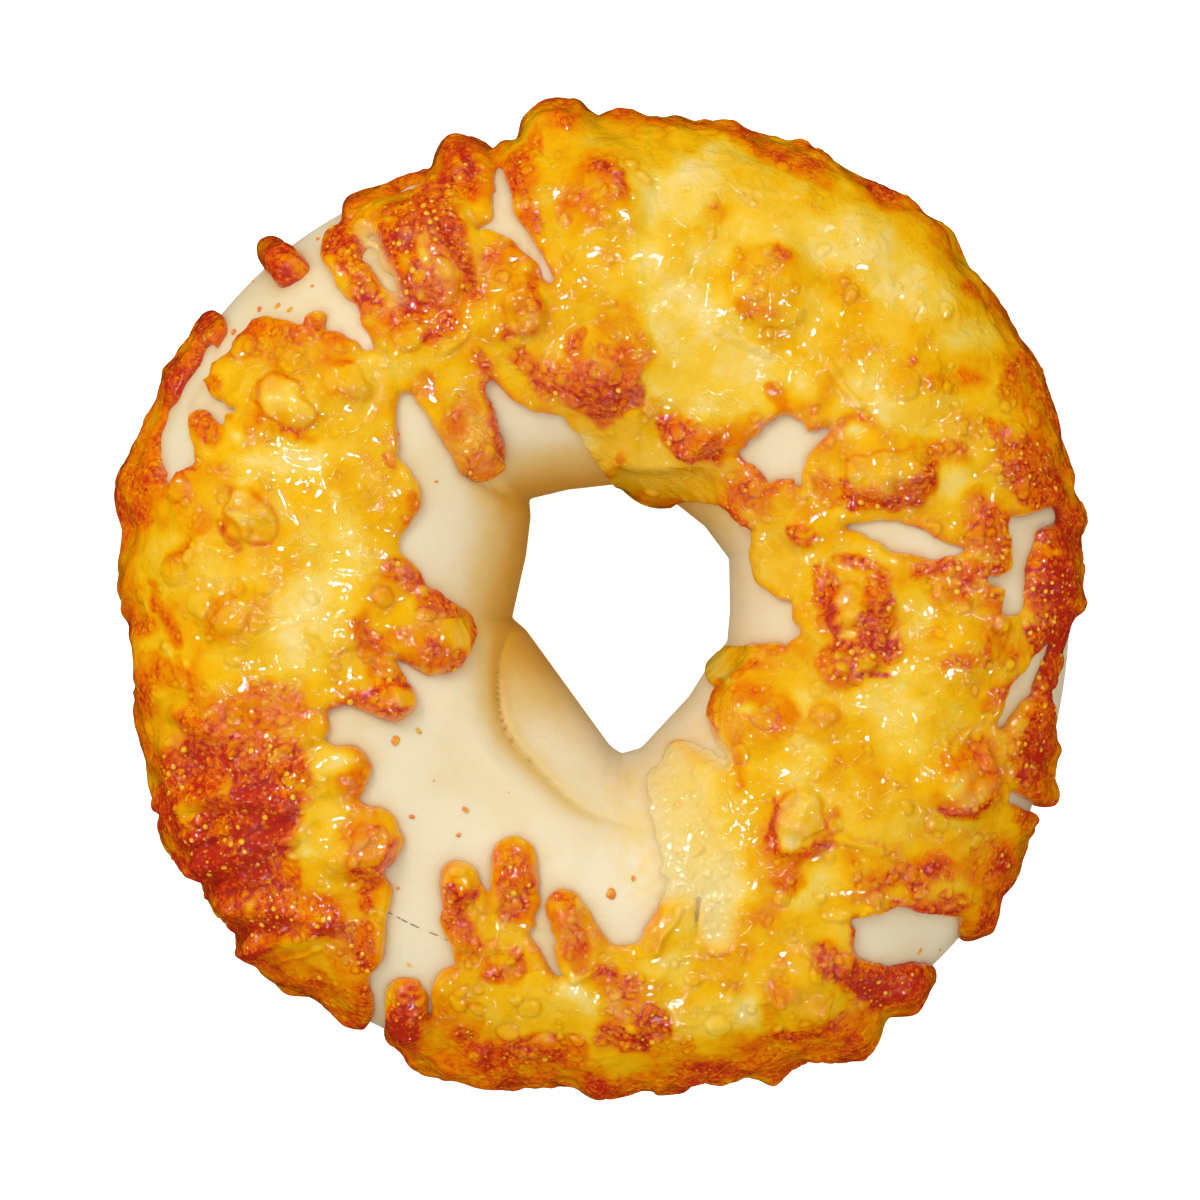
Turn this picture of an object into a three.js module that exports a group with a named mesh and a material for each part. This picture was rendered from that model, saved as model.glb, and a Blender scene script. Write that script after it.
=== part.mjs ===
// A bagel with melted cheese. A hand-rolled strand of dough is closed into a ring, one end lapping over
// the other beside the hole, and a sheet of browned cheese covers most of the upper side, with one loose
// drop beside it. Millimetres, +Z up. The ring rests on z = 0, and the whole is centred on the z axis.

import * as THREE from "three";

// ---- Driving dimensions ----

const RING_CENTRE = { x: 2.2, y: -1.3 };
const EQUATOR_HEIGHT = 16; // the ring is widest here, so the rim and the hole's edge lie at this height

// The height of the bare dough along the crown of the ring, every 30 degrees from +X.
const CROWN_HEIGHTS = [34.6, 35.2, 35.4, 34.8, 34.6, 35.6, 36.4, 36.2, 34.2, 33.6, 34.4, 34.8];

const SAG = 1.6; // how far the round underside would reach below the table that flattens it
const SECTION_POWER = 2.15; // a little squarer than an ellipse, which has 2

// The rim of the bare dough: its distance from the ring's centre, every 22.5 degrees from +X.
const RIM_RADII = [
  48.1, 49.7, 51.6, 52.4, 51.8, 51.2, 52.9, 53.5, 52.0, 52.2, 52.2, 50.8, 49.9, 50.5, 50.3, 48.5,
];

// The hole seen from above, with a corner where the left end laps over and one where it meets the upper limb.
const HOLE_EDGE = [
  [13.9, -1.1], [13.8, 4.4], [11.2, 7.9], [8, 10.4], [4.4, 11.2], [1.9, 12.4], [-3.4, 11.8], [-7.6, 10.8],
  [-7.4, 9], [-7.9, 4.8], [-9.4, -1.9], [-7.9, -3.2], [-3.4, -9.4], [1.1, -15.6], [2.3, -16.4],
  [4.4, -15.8], [9.5, -10.3], [12.1, -6.2], [13.6, -4.4],
];

// Creases where one stretch of dough presses on another: a curve through points, the depth at its start,
// the half width on its right, and on its left the half width of the lip and how far the dough there,
// which lies underneath, is lowered in all.
const CREASES = [
  {
    through: [[-8, -0.6], [-10.7, -6], [-10.3, -13.4], [-6, -18.7], [-1, -22.8], [6, -24.6]],
    depth: 3.2,
    width: 3.4,
    lip: 0.9,
    sink: 1.8,
  },
  { through: [[-7, 10.8], [-10.5, 11.2], [-15.5, 14.2]], depth: 2, width: 2.6, lip: 2, sink: 0 },
  { through: [[2.3, -15.6], [3.4, -20.5]], depth: 1, width: 1.8, lip: 1.8, sink: 0 },
];
const CREASE_FADE = 0.25; // the share of its length after which a crease starts to fade out
const SINK_REACH = [1, 9]; // from the crease: where the lowered dough starts to rise, and is level again
const CURVE_STEPS = 24; // along the curve of a crease

const CHEESE_THICKNESS = 1.5;
const EDGE_THICKNESS = 0.75; // of the blunt edge, where the melt has stopped running
const EDGE_WIDTH = 1.6; // from the edge to the full thickness
const DRAPE = 0.6; // below the equator, the share of a drop in height that counts as going further out
const GAP = 0.3; // between the cheese and the dough under it

// How far the meeting bars run into one another: in the sheet, in the drop and in the windows, and the
// sheet and the drop between them.
const SHEET_BLEND = 0.8;
const DROP_BLEND = 0.5;
const WINDOW_BLEND = 0.5;
const PARTED_BLEND = 0.05;

// Each lobe of cheese is a tapered bar seen from above: x, y and radius at one end, then at the other.
const WEST_LOBES = [
  [-41.3, 28.9, 1.6, -46, 21, 2.2], [-46.3, 21, 2, -50, 11, 3.1], [-50, 11, 3.1, -48.5, 2, 4.2],
  [-39.7, 23.3, 2.3, -36, 24, 3.5], [-35.3, 26.3, 3.5, -29, 25.5, 3.3], [-30.2, 29.6, 1.1, -30.2, 28.5, 1.1],
  [-27, 24.5, 2.8, -24.5, 23.5, 2.2], [-24.5, 22, 3.2, -24.3, 17, 2.9], [-32, 20, 7.5, -31, 5, 9.5],
  [-42.3, 18.6, 1.5, -40.5, 16, 2.5], [-41.5, 11, 3.8, -41, 5, 5], [-24.5, 11, 5.2, -27, 10, 6],
  [-25.5, 5, 3.4, -22, 1, 3.5], [-21, -2, 4.4, -17.3, -3.9, 4], [-24.5, -8.5, 3.4, -21.8, -10.7, 2.4],
  [-35, 0, 9, -31, -6, 6.4], [-43, 1, 7, -41, -14, 7.5], [-41, -14, 7.5, -38, -28, 8.5],
  [-30, -18.5, 3.2, -27.4, -18.4, 3.1], [-26.5, -26, 4, -24.9, -25.5, 3.9],
  [-27.5, -31.5, 5.4, -27, -36.5, 4.2], [-28.5, -41, 4.2, -28.2, -43.5, 3.8], [-35, -30, 8, -33, -37, 6],
  [-46.4, 11.6, 1, -46, 8.5, 1.3], [-33, -14, 2.6, -30.8, -13.8, 2], [-31, -22, 1.7, -27, -22, 1.3],
];
const NORTH_WEST_LOBES = [
  [-24, 24.8, 1.6, -20, 23.6, 1.8], [-26.8, 36.8, 2.9, -25.3, 34.2, 2.6], [-25.3, 41, 2.3, -21.5, 43.8, 2.2],
  [-24, 33, 2.6, -21.5, 28.5, 2.9], [-18, 40, 5.6, -17.5, 31, 5.2], [-14.5, 46.5, 3.4, -14, 42, 3],
  [-4.5, 49, 4.2, -1, 48, 4.2], [-10, 47, 1.5, -7, 45.5, 3], [-6.5, 44.5, 3.2, -2, 41, 4.8],
  [-4.5, 38, 2.8, 0, 34, 4.5], [-19, 27, 3.5, -13, 27, 3.7], [-16.5, 24, 4, -12.6, 15.3, 2.7],
  [-12, 34, 5, -10.5, 31, 5.2], [-6.5, 25, 4.8, 0, 25, 6], [-5, 30, 4, 0, 30, 5],
  [1.5, 21, 5.2, 5.5, 13.5, 3.9],
];
const NORTH_EAST_LOBES = [
  [0, 42, 9.5, 15, 40, 10.5], [15, 40, 10.5, 28, 33, 12], [28, 33, 12, 37, 22, 12], [8, 30, 8, 22, 26, 8],
  [37, 22, 12, 38, 12, 12], [8, 22, 6, 14, 21, 5], [6, 14.2, 4.2, 12.5, 13.6, 3],
  [15, 12, 2.6, 17.5, 9.8, 2.3], [20, 9.5, 3.3, 20, 3.5, 3.3],
  [31, 9, 11, 31.5, -6, 10.5], [24.5, 0.5, 3.2, 27.5, -3, 4],
  [48.5, 8, 3.2, 48.5, 1, 3.3], [47, 0, 2.6, 46.3, -14, 2.8],
];
const SOUTH_EAST_LOBES = [
  [36, -5, 9, 36.5, -18, 9.5], [17.5, -8.2, 3.5, 22, -9, 4.5], [15.5, -7, 2.3, 13.6, -7.6, 2.1],
  [16.2, -12.6, 4.5, 22, -14, 6], [46, -15, 3.3, 47.7, -20.6, 1.7], [41, -20, 5, 41, -27.5, 4.6],
  [22, -18, 9, 24, -27, 9], [9.6, -19.6, 4.4, 11.2, -27, 5], [32, -25, 8, 38, -27.5, 6.2],
  [41, -30, 3, 40.2, -34.5, 2.3],
];
const SOUTH_LOBES = [
  [9, -32.4, 2.4, 7, -39, 4], [14, -30, 5.5, 15, -39, 8.5], [21, -33, 6, 22, -39, 7],
  [5, -43, 6.6, -10, -43.5, 6.4], [-3.9, -32.6, 2.1, -1.2, -38, 2.6], [-9, -27.9, 2.6, -9.4, -34, 2.7],
  [-15.1, -30, 2.2, -14, -34.5, 2.7], [-12.5, -37, 3.3, -9, -38, 3.5], [-14.3, -42, 3.5, -13, -47, 5],
  [-20.7, -42.4, 2.2, -20.2, -45.2, 2.5], [-18.7, -48.3, 2.6, -14, -49, 4], [-10, -48, 5, 10, -48, 5],
  [10, -45, 7, 26, -43.5, 6.5], [26, -43, 4.6, 33.5, -41.5, 3],
];
const DROP_LOBES = [[-33.45, 35.45, 2.2, -34, 36, 1.9]];
const LOBES = [...WEST_LOBES, ...NORTH_WEST_LOBES, ...NORTH_EAST_LOBES, ...SOUTH_EAST_LOBES, ...SOUTH_LOBES];

// Windows and clefts in the melt where the dough shows, as bars of the same kind.
const BARE_WINDOWS = [
  [-42.2, 24.2, 0.9, -43.3, 22.6, 0.9], [-43.3, 22.6, 0.9, -44.7, 19.8, 1], [-44.7, 19.8, 1, -45.1, 17, 1.6],
  [-45.1, 17, 1.6, -45.4, 14.2, 1.1], [-21.4, 44, 0.7, -18.4, 45.3, 0.8],
  [-24.5, 36.9, 0.9, -22.6, 33.6, 0.7],
  [-10.6, 42.8, 1, -10.3, 40.6, 1.3], [-9.5, 40, 1.2, -5.6, 35, 0.7], [19.4, 17.5, 2.1, 16.4, 16.2, 1],
  [20.6, 17.6, 1.6, 21, 14, 1], [31, 7, 1.55, 34, 6, 1.6], [30, 7.4, 1.2, 27.6, 7.8, 0.8],
  [35, 5.7, 1.2, 37.6, 5.2, 0.8], [44.2, 7.8, 1.2, 47.8, 8.9, 0.8], [45, 6.8, 1.4, 44.4, 3.6, 0.9],
  [44.2, 3, 0.9, 43.8, -0.5, 1.2], [43, -12, 0.9, 45.8, -7, 0.9], [29.6, -36, 2.7, 31.5, -36, 2.8],
  [31.5, -36.2, 2.7, 36.4, -35.8, 2.1], [36.4, -37, 0.9, 38.4, -37.8, 0.9],
  [-6.3, -35.4, 1.2, -4, -39.4, 0.8],
  [50.6, -5.5, 1.3, 49.6, -10, 1.7], [49.6, -10, 1.7, 49, -14.5, 0.8], [20, -3, 1.2, 20.6, -3.4, 0.9],
];

// Lumps and blisters in the melt: x, y, radius and how far it stands above the sheet.
const LUMPS = [
  [-32.5, 21, 4, 2.2], [-37, 9, 3.8, 1.8], [-38.5, -2, 4, 1.6], [-27, 23, 3.4, 1.2], [-19, -3.5, 4.4, 1.1],
  [-24.3, -26.3, 3.6, 1.4], [-22.5, -10.5, 3, 1], [-27.5, -18, 3.6, 1.2], [-18, 37, 6, 2],
  [-14.5, 47, 3.6, 1.6], [-9.5, 31, 4.4, 1.5], [0.5, 42.5, 5.6, 1.8], [6.5, 36.5, 3.6, 1],
  [-1, 24.5, 5.2, 1.5], [17.5, 32.5, 6.4, 1.8],
  [10, 17.6, 3.4, 1.1], [33.5, 22, 4, 1.2], [30.5, 13.5, 5.2, 2.2], [22, 7.5, 2.6, 1], [28, -1, 4, 1.8],
  [25, -7.5, 2.8, 1.2], [38, -5.5, 4, 1.4], [16.5, -12.3, 5, 1.8], [24, -13, 2.6, 0.8], [37.5, -19.5, 4.6, 2],
  [21, -24, 4.2, 1.9], [20.5, -41.5, 5.6, 1.8], [26.5, -45, 4, 1.4], [43.5, 16, 4.6, 1.4], [47, 4, 3.6, 1],
  [-13, 16.5, 2.8, 0.8], [-15, -30.5, 2.4, 0.9], [-9, -29, 2.6, 0.9], [-3.6, -33.5, 2.2, 0.9],
  [-20.5, -43.6, 3, 1.6], [-34, 35.6, 2.8, 1.3], [33, -41.5, 4, 1.4],
  [40.5, -33.5, 3, 0.5], [47.6, -21.8, 3, 1.8],
  [-4.5, 50.5, 4.6, 2.7], [2.5, 51.4, 3, 0.9], [13, 51, 3.2, 0.9], [34, 39.6, 5, 0.8], [50.8, 9, 2.4, 0.9],
  [-37, -40.5, 6, 1.4], [-14, -52, 6, 1.9], [1, -52.6, 4, 1.25], [19.5, -51, 3.4, 0.8], [27, -48.4, 6, 1.6],
  [-46.5, -27, 5, 1.6], [-51, 11.5, 4.5, 1.4], [-18.5, -49.5, 4, 1],
];

// Wrinkles where the sheet has run together on the lower left: x, y and half width at each end, then
// the height.
const FOLDS = [
  [-45, -15, 2, -41, -27, 2.4, 1.3], [-41, -20, 2.2, -33, -21, 1.8, 1.1],
  [-40, -27, 2.4, -32, -24.5, 1.8, 1.2], [-37, -31.5, 2, -28, -33.5, 1.8, 1],
  [-38, -36.5, 1.8, -30, -34.8, 1.6, 0.9], [-44, -12, 2, -39, -14, 1.8, 0.8],
];

const WAVES = { height: 0.28, length: 9.5, count: 5, seed: 11 }; // the unevenness of the cheese sheet
const DOUGH_WAVES = { height: 0.3, length: 34, count: 4, seed: 5 }; // and the gentler one of the dough
const WAVE_LENGTHS = [0.7, 1.3]; // the shortest and the longest wave, as a share of the length

// ---- Plane geometry ----

const TURN = 2 * Math.PI;
const clamp = THREE.MathUtils.clamp;
const smoothstep = THREE.MathUtils.smoothstep;

// Signed distance to a tapered bar, negative inside.
function barDistance(x, y, [x1, y1, r1, x2, y2, r2]) {
  const dx = x2 - x1;
  const dy = y2 - y1;
  const length = Math.max(dx * dx + dy * dy, 1e-9);
  const along = clamp(((x - x1) * dx + (y - y1) * dy) / length, 0, 1);
  return Math.hypot(x - x1 - along * dx, y - y1 - along * dy) - (r1 + along * (r2 - r1));
}

// The smaller of two distances, with the corner between them rounded over a length k.
function smoothMin(a, b, k) {
  const h = clamp(0.5 + (0.5 * (b - a)) / k, 0, 1);
  return b + (a - b) * h - k * h * (1 - h);
}

function barsDistance(x, y, bars, k) {
  return bars.reduce((nearest, bar) => smoothMin(nearest, barDistance(x, y, bar), k), 1e3);
}

// Distance from a smooth curve, where along the curve that is (0 to 1), and whether it lies on the
// curve's left.
function curveDistance(x, y, points) {
  let best = { distance: Infinity, along: 0, left: false };
  for (let i = 0; i + 1 < points.length; i++) {
    const a = points[i];
    const b = points[i + 1];
    const dx = b.x - a.x;
    const dy = b.y - a.y;
    const t = clamp(((x - a.x) * dx + (y - a.y) * dy) / (dx * dx + dy * dy), 0, 1);
    const distance = Math.hypot(x - a.x - t * dx, y - a.y - t * dy);
    if (distance < best.distance) {
      const left = dx * (y - a.y) - dy * (x - a.x) > 0;
      best = { distance, along: (i + t) / (points.length - 1), left };
    }
  }
  return best;
}

function seededRandom(seed) {
  let state = seed;
  return () => {
    state = (state * 1664525 + 1013904223) % 4294967296;
    return state / 4294967296;
  };
}

// A smooth uneven height over the plan: a few crossing waves of random direction and phase.
function unevenness({ height, length, count, seed }) {
  const random = seededRandom(seed);
  const waves = Array.from({ length: count }, (_, i) => {
    const angle = (Math.PI * (i + random())) / count;
    const pitch = TURN / (length * THREE.MathUtils.lerp(...WAVE_LENGTHS, random()));
    return { kx: pitch * Math.cos(angle), ky: pitch * Math.sin(angle), phase: TURN * random() };
  });
  const share = height / Math.sqrt(count);
  return (x, y) => waves.reduce((sum, w) => sum + share * Math.sin(w.kx * x + w.ky * y + w.phase), 0);
}

// ---- The dough ----

// A closed smooth curve through values spaced evenly round the ring.
function roundTheRing(values) {
  const n = values.length;
  return (theta) => {
    const place = THREE.MathUtils.euclideanModulo(theta / TURN, 1) * n;
    const i = Math.floor(place);
    const t = place - i;
    const [a, b, c, d] = [-1, 0, 1, 2].map((step) => values[(i + step + n) % n]);
    return b + 0.5 * t * (c - a + t * (2 * a - 5 * b + 4 * c - d + t * (3 * (b - c) + d - a)));
  };
}

// The distance from the ring's centre to a closed outline, in a direction.
function outlineRadius(outline) {
  const corners = outline.map(([x, y]) => [x - RING_CENTRE.x, y - RING_CENTRE.y]);
  return (theta) => {
    const c = Math.cos(theta);
    const s = Math.sin(theta);
    for (let i = 0; i < corners.length; i++) {
      const [ax, ay] = corners[i];
      const [bx, by] = corners[(i + 1) % corners.length];
      const acrossA = c * ay - s * ax;
      const acrossB = c * by - s * bx;
      const t = acrossA / (acrossA - acrossB);
      const radius = c * (ax + t * (bx - ax)) + s * (ay + t * (by - ay));
      if (acrossA <= 0 && acrossB > 0 && radius > 0) return radius;
    }
    throw new Error("the outline does not go round the ring's centre");
  };
}

const rimRadius = roundTheRing(RIM_RADII);
const crownHeight = roundTheRing(CROWN_HEIGHTS);
const holeRadius = outlineRadius(HOLE_EDGE);
const cheeseWaves = unevenness(WAVES);
const doughWaves = unevenness(DOUGH_WAVES);
const creases = CREASES.map((crease) => {
  const curve = new THREE.CatmullRomCurve3(crease.through.map(([x, y]) => new THREE.Vector3(x, y, 0)));
  return { ...crease, points: curve.getPoints(CURVE_STEPS) };
});

// How far the creases lower the upper side of the ring at a place in plan.
function creaseDepth(x, y) {
  return creases.reduce((sum, { points, depth, width, lip, sink }) => {
    const { distance, along, left } = curveDistance(x, y, points);
    const share = 1 - clamp(distance / (left ? lip : width), 0, 1);
    const pinch = (left ? depth - sink : depth) * (1 - Math.sqrt(1 - share * share));
    const lowered = left ? sink * (1 - smoothstep(distance, ...SINK_REACH)) : 0;
    const fade = Math.sqrt(1 - smoothstep(along, CREASE_FADE, 1));
    return sum + fade * (pinch + lowered);
  }, 0);
}

// A point of the dough's surface: theta goes round the ring, phi round its section from the outer equator
// over the top.
function doughPoint(theta, phi) {
  const inner = holeRadius(theta);
  const outer = rimRadius(theta);
  const c = Math.cos(phi);
  const s = Math.sin(phi);
  const across = Math.sign(c) * Math.abs(c) ** (2 / SECTION_POWER);
  const up = Math.sign(s) * Math.abs(s) ** (2 / SECTION_POWER);
  const radius = (inner + outer) / 2 + (across * (outer - inner)) / 2;
  const x = RING_CENTRE.x + radius * Math.cos(theta);
  const y = RING_CENTRE.y + radius * Math.sin(theta);
  const rise = s >= 0 ? crownHeight(theta) - EQUATOR_HEIGHT : EQUATOR_HEIGHT + SAG;
  let z = EQUATOR_HEIGHT + rise * up;
  if (s > 0) z += up * (doughWaves(x, y) - creaseDepth(x, y));
  return new THREE.Vector3(x, y, Math.max(z, 0));
}

const STEP = 1e-3; // of both angles, for slopes

function doughNormal(theta, phi) {
  const alongRing = doughPoint(theta + STEP, phi).sub(doughPoint(theta - STEP, phi));
  const aroundSection = doughPoint(theta, phi + STEP).sub(doughPoint(theta, phi - STEP));
  return alongRing.cross(aroundSection).normalize();
}

// ---- The cheese ----

// A place on the dough laid flat: plan coordinates above the equator, and further out or in the lower it
// is below.
function flattened(theta, phi) {
  const point = doughPoint(theta, phi);
  const below = EQUATOR_HEIGHT - point.z;
  if (Math.sin(phi) >= 0 || below <= 0) return point;
  const outside = Math.cos(phi) > 0;
  const radius = outside ? rimRadius(theta) + DRAPE * below : holeRadius(theta) - DRAPE * below;
  point.x = RING_CENTRE.x + radius * Math.cos(theta);
  point.y = RING_CENTRE.y + radius * Math.sin(theta);
  return point;
}

// How far inside the cheese a place is, negative on bare dough.
function cheeseDepth({ x, y }) {
  const sheet = barsDistance(x, y, LOBES, SHEET_BLEND);
  const loose = barsDistance(x, y, DROP_LOBES, DROP_BLEND);
  return Math.min(-smoothMin(sheet, loose, PARTED_BLEND), barsDistance(x, y, BARE_WINDOWS, WINDOW_BLEND));
}

function lumpHeight({ x, y }) {
  const lumps = LUMPS.reduce((sum, [lx, ly, radius, height]) => {
    const share = 1 - ((x - lx) ** 2 + (y - ly) ** 2) / radius ** 2;
    return sum + height * smoothstep(share, 0, 1);
  }, 0);
  const folds = FOLDS.reduce((sum, [x1, y1, r1, x2, y2, r2, height]) => {
    const inside = -barDistance(x, y, [x1, y1, r1, x2, y2, r2]);
    return sum + height * smoothstep(inside, 0, (r1 + r2) / 2);
  }, 0);
  return lumps + folds;
}

function cheeseThickness(place) {
  const share = 1 - clamp(cheeseDepth(place) / EDGE_WIDTH, 0, 1);
  const full = CHEESE_THICKNESS + lumpHeight(place) + cheeseWaves(place.x, place.y);
  return EDGE_THICKNESS + (full - EDGE_THICKNESS) * Math.sqrt(1 - share * share);
}

// ---- Meshes ----

const degrees = THREE.MathUtils.degToRad;

// count evenly spaced angles from one to just short of the other, in degrees.
function spread(from, to, count) {
  return Array.from({ length: count }, (_, i) => degrees(from + ((to - from) * i) / count));
}

function geometryOf(points, triangles) {
  const geometry = new THREE.BufferGeometry().setFromPoints(points);
  geometry.setIndex(triangles.flat());
  geometry.computeVertexNormals();
  return geometry;
}

// The two triangles of each cell of a grid of rows and columns. The rows close on themselves round the
// ring, and the columns do where closed is true.
function gridTriangles(rows, columns, closed) {
  const triangles = [];
  for (let i = 0; i < rows; i++) {
    for (let j = 0; j < (closed ? columns : columns - 1); j++) {
      const next = ((i + 1) % rows) * columns;
      const across = (j + 1) % columns;
      triangles.push([i * columns + j, next + j, next + across]);
      triangles.push([i * columns + j, next + across, i * columns + across]);
    }
  }
  return triangles;
}

const DOUGH_THETAS = spread(0, 360, 84);
const DOUGH_PHIS = [...spread(0, 90, 6), ...spread(90, 188, 11), ...spread(188, 360, 7)];

function doughGeometry() {
  const points = DOUGH_THETAS.flatMap((theta) => DOUGH_PHIS.map((phi) => doughPoint(theta, phi)));
  return geometryOf(points, gridTriangles(DOUGH_THETAS.length, DOUGH_PHIS.length, true));
}

const CHEESE_THETAS = spread(0, 360, 118);
const CHEESE_PHIS = spread(-36, 204, 30);
const SNAP = 0.35; // of a grid edge: a vertex this near the cheese's edge moves onto it
const HALVINGS = 6; // of a grid edge, to find the place where the cheese's edge crosses it

function nodeAt(theta, phi) {
  return { theta, phi, depth: cheeseDepth(flattened(theta, phi)) };
}

// Where the cheese's edge crosses between a node inside it and one outside.
function crossing(inside, outside) {
  let [a, b] = [inside, outside];
  for (let halving = 0; halving < HALVINGS; halving++) {
    const middle = nodeAt((a.theta + b.theta) / 2, (a.phi + b.phi) / 2);
    if (middle.depth > 0) a = middle;
    else b = middle;
  }
  return { theta: (a.theta + b.theta) / 2, phi: (a.phi + b.phi) / 2, depth: 0 };
}

// A node one whole turn on, where that is nearer to another node.
function besides(node, other) {
  const turns = Math.round((other.theta - node.theta) / TURN);
  return turns ? { ...node, theta: node.theta + turns * TURN } : node;
}

// A grid over the ring, cut along the edge of the cheese: its nodes and the triangles that lie under cheese.
function trimmedGrid() {
  const nodes = CHEESE_THETAS.flatMap((theta) => CHEESE_PHIS.map((phi) => nodeAt(theta, phi)));
  const cells = gridTriangles(CHEESE_THETAS.length, CHEESE_PHIS.length, false);

  const nearest = new Map();
  for (const [a, b, c] of cells) {
    for (const [from, to] of [[a, b], [b, c], [c, a], [b, a], [c, b], [a, c]]) {
      if (nodes[from].depth > 0 === nodes[to].depth > 0) continue;
      const target = besides(nodes[to], nodes[from]);
      const edge = nodes[from].depth > 0 ? crossing(nodes[from], target) : crossing(target, nodes[from]);
      const share = Math.hypot(edge.theta - nodes[from].theta, edge.phi - nodes[from].phi)
        / Math.hypot(target.theta - nodes[from].theta, target.phi - nodes[from].phi);
      if (share < SNAP && share < (nearest.get(from)?.share ?? Infinity)) nearest.set(from, { share, edge });
    }
  }
  nearest.forEach(({ edge }, index) => {
    nodes[index] = edge;
  });

  const cuts = new Map();
  const cutBetween = (inside, outside) => {
    const key = `${inside}-${outside}`;
    if (!cuts.has(key)) {
      nodes.push(crossing(nodes[inside], besides(nodes[outside], nodes[inside])));
      cuts.set(key, nodes.length - 1);
    }
    return cuts.get(key);
  };

  const triangles = [];
  for (const cell of cells) {
    if (!cell.some((index) => nodes[index].depth > 0)) continue;
    const outline = [];
    cell.forEach((index, k) => {
      const following = cell[(k + 1) % 3];
      if (nodes[index].depth >= 0) outline.push(index);
      if (nodes[index].depth > 0 && nodes[following].depth < 0) outline.push(cutBetween(index, following));
      if (nodes[index].depth < 0 && nodes[following].depth > 0) outline.push(cutBetween(following, index));
    });
    for (let k = 1; k + 1 < outline.length; k++) {
      triangles.push([outline[0], outline[k], outline[k + 1]]);
    }
  }
  return { nodes, triangles };
}

// The edges that only one triangle has, each in that triangle's direction.
function openEdges(triangles) {
  const sides = new Set(triangles.flatMap(([a, b, c]) => [`${a} ${b}`, `${b} ${c}`, `${c} ${a}`]));
  return [...sides].map((side) => side.split(" ").map(Number)).filter(([a, b]) => !sides.has(`${b} ${a}`));
}

// Triangles in groups that are joined edge to edge, the largest first.
function joinedGroups(triangles) {
  const group = triangles.map((_, i) => i);
  const rootOf = (i) => {
    if (group[i] !== i) group[i] = rootOf(group[i]);
    return group[i];
  };
  const owner = new Map();
  triangles.forEach(([a, b, c], i) => {
    for (const [from, to] of [[a, b], [b, c], [c, a]]) {
      const twin = owner.get(`${to} ${from}`);
      if (twin !== undefined) group[rootOf(i)] = rootOf(twin);
      owner.set(`${from} ${to}`, i);
    }
  });
  const groups = new Map();
  triangles.forEach((triangle, i) => {
    const root = rootOf(i);
    groups.set(root, [...(groups.get(root) ?? []), triangle]);
  });
  return [...groups.values()].sort((a, b) => b.length - a.length);
}

// Without the triangles at a corner where two stretches of edge meet in one point.
function withoutPinches(triangles) {
  const leaving = openEdges(triangles).map(([from]) => from);
  const pinched = new Set(leaving.filter((node, i) => leaving.indexOf(node) !== i));
  if (!pinched.size) return triangles;
  return withoutPinches(triangles.filter((triangle) => !triangle.some((node) => pinched.has(node))));
}

// A closed skin of cheese over some triangles of the grid: an upper and a lower sheet, joined along the
// open edges.
function cheeseGeometry(nodes, triangles) {
  const order = new Map([...new Set(triangles.flat())].map((node, i) => [node, i]));
  const count = order.size;
  const sheet = (height) =>
    [...order.keys()].map((index) => {
      const { theta, phi } = nodes[index];
      return doughPoint(theta, phi).addScaledVector(doughNormal(theta, phi), height(flattened(theta, phi)));
    });
  const upper = triangles.map((triangle) => triangle.map((node) => order.get(node)));
  const lower = upper.map(([a, b, c]) => [count + a, count + c, count + b]);
  const walls = openEdges(upper).flatMap(([a, b]) => [[b, a, count + a], [b, count + a, count + b]]);
  return geometryOf([...sheet(cheeseThickness), ...sheet(() => GAP)], [...upper, ...lower, ...walls]);
}

// ---- The bagel ----

const DOUGH_FINISH = { color: 0xefe3bf, roughness: 0.55, metalness: 0 };
const CHEESE_FINISH = { color: 0xf0ab28, roughness: 0.3, metalness: 0 };

function namedMesh(name, geometry, finish) {
  const mesh = new THREE.Mesh(geometry, new THREE.MeshStandardMaterial(finish));
  mesh.name = name;
  return mesh;
}

const { nodes, triangles } = trimmedGrid();
const [melt, drop] = joinedGroups(withoutPinches(triangles));

const bagel = new THREE.Group();
bagel.add(namedMesh("dough", doughGeometry(), DOUGH_FINISH));
bagel.add(namedMesh("cheese_melt", cheeseGeometry(nodes, melt), CHEESE_FINISH));
bagel.add(namedMesh("cheese_drop", cheeseGeometry(nodes, drop), CHEESE_FINISH));

export default bagel;
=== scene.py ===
"""A bagel with melted cheese: dough, the browned sheet of cheese, a loose drop, blisters, crumbs and a stage.

Shapes are worked out in millimetres over the plan and handed to Blender in metres. The ring lies round the z
axis and rests on z = 0.
"""

import math

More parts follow.
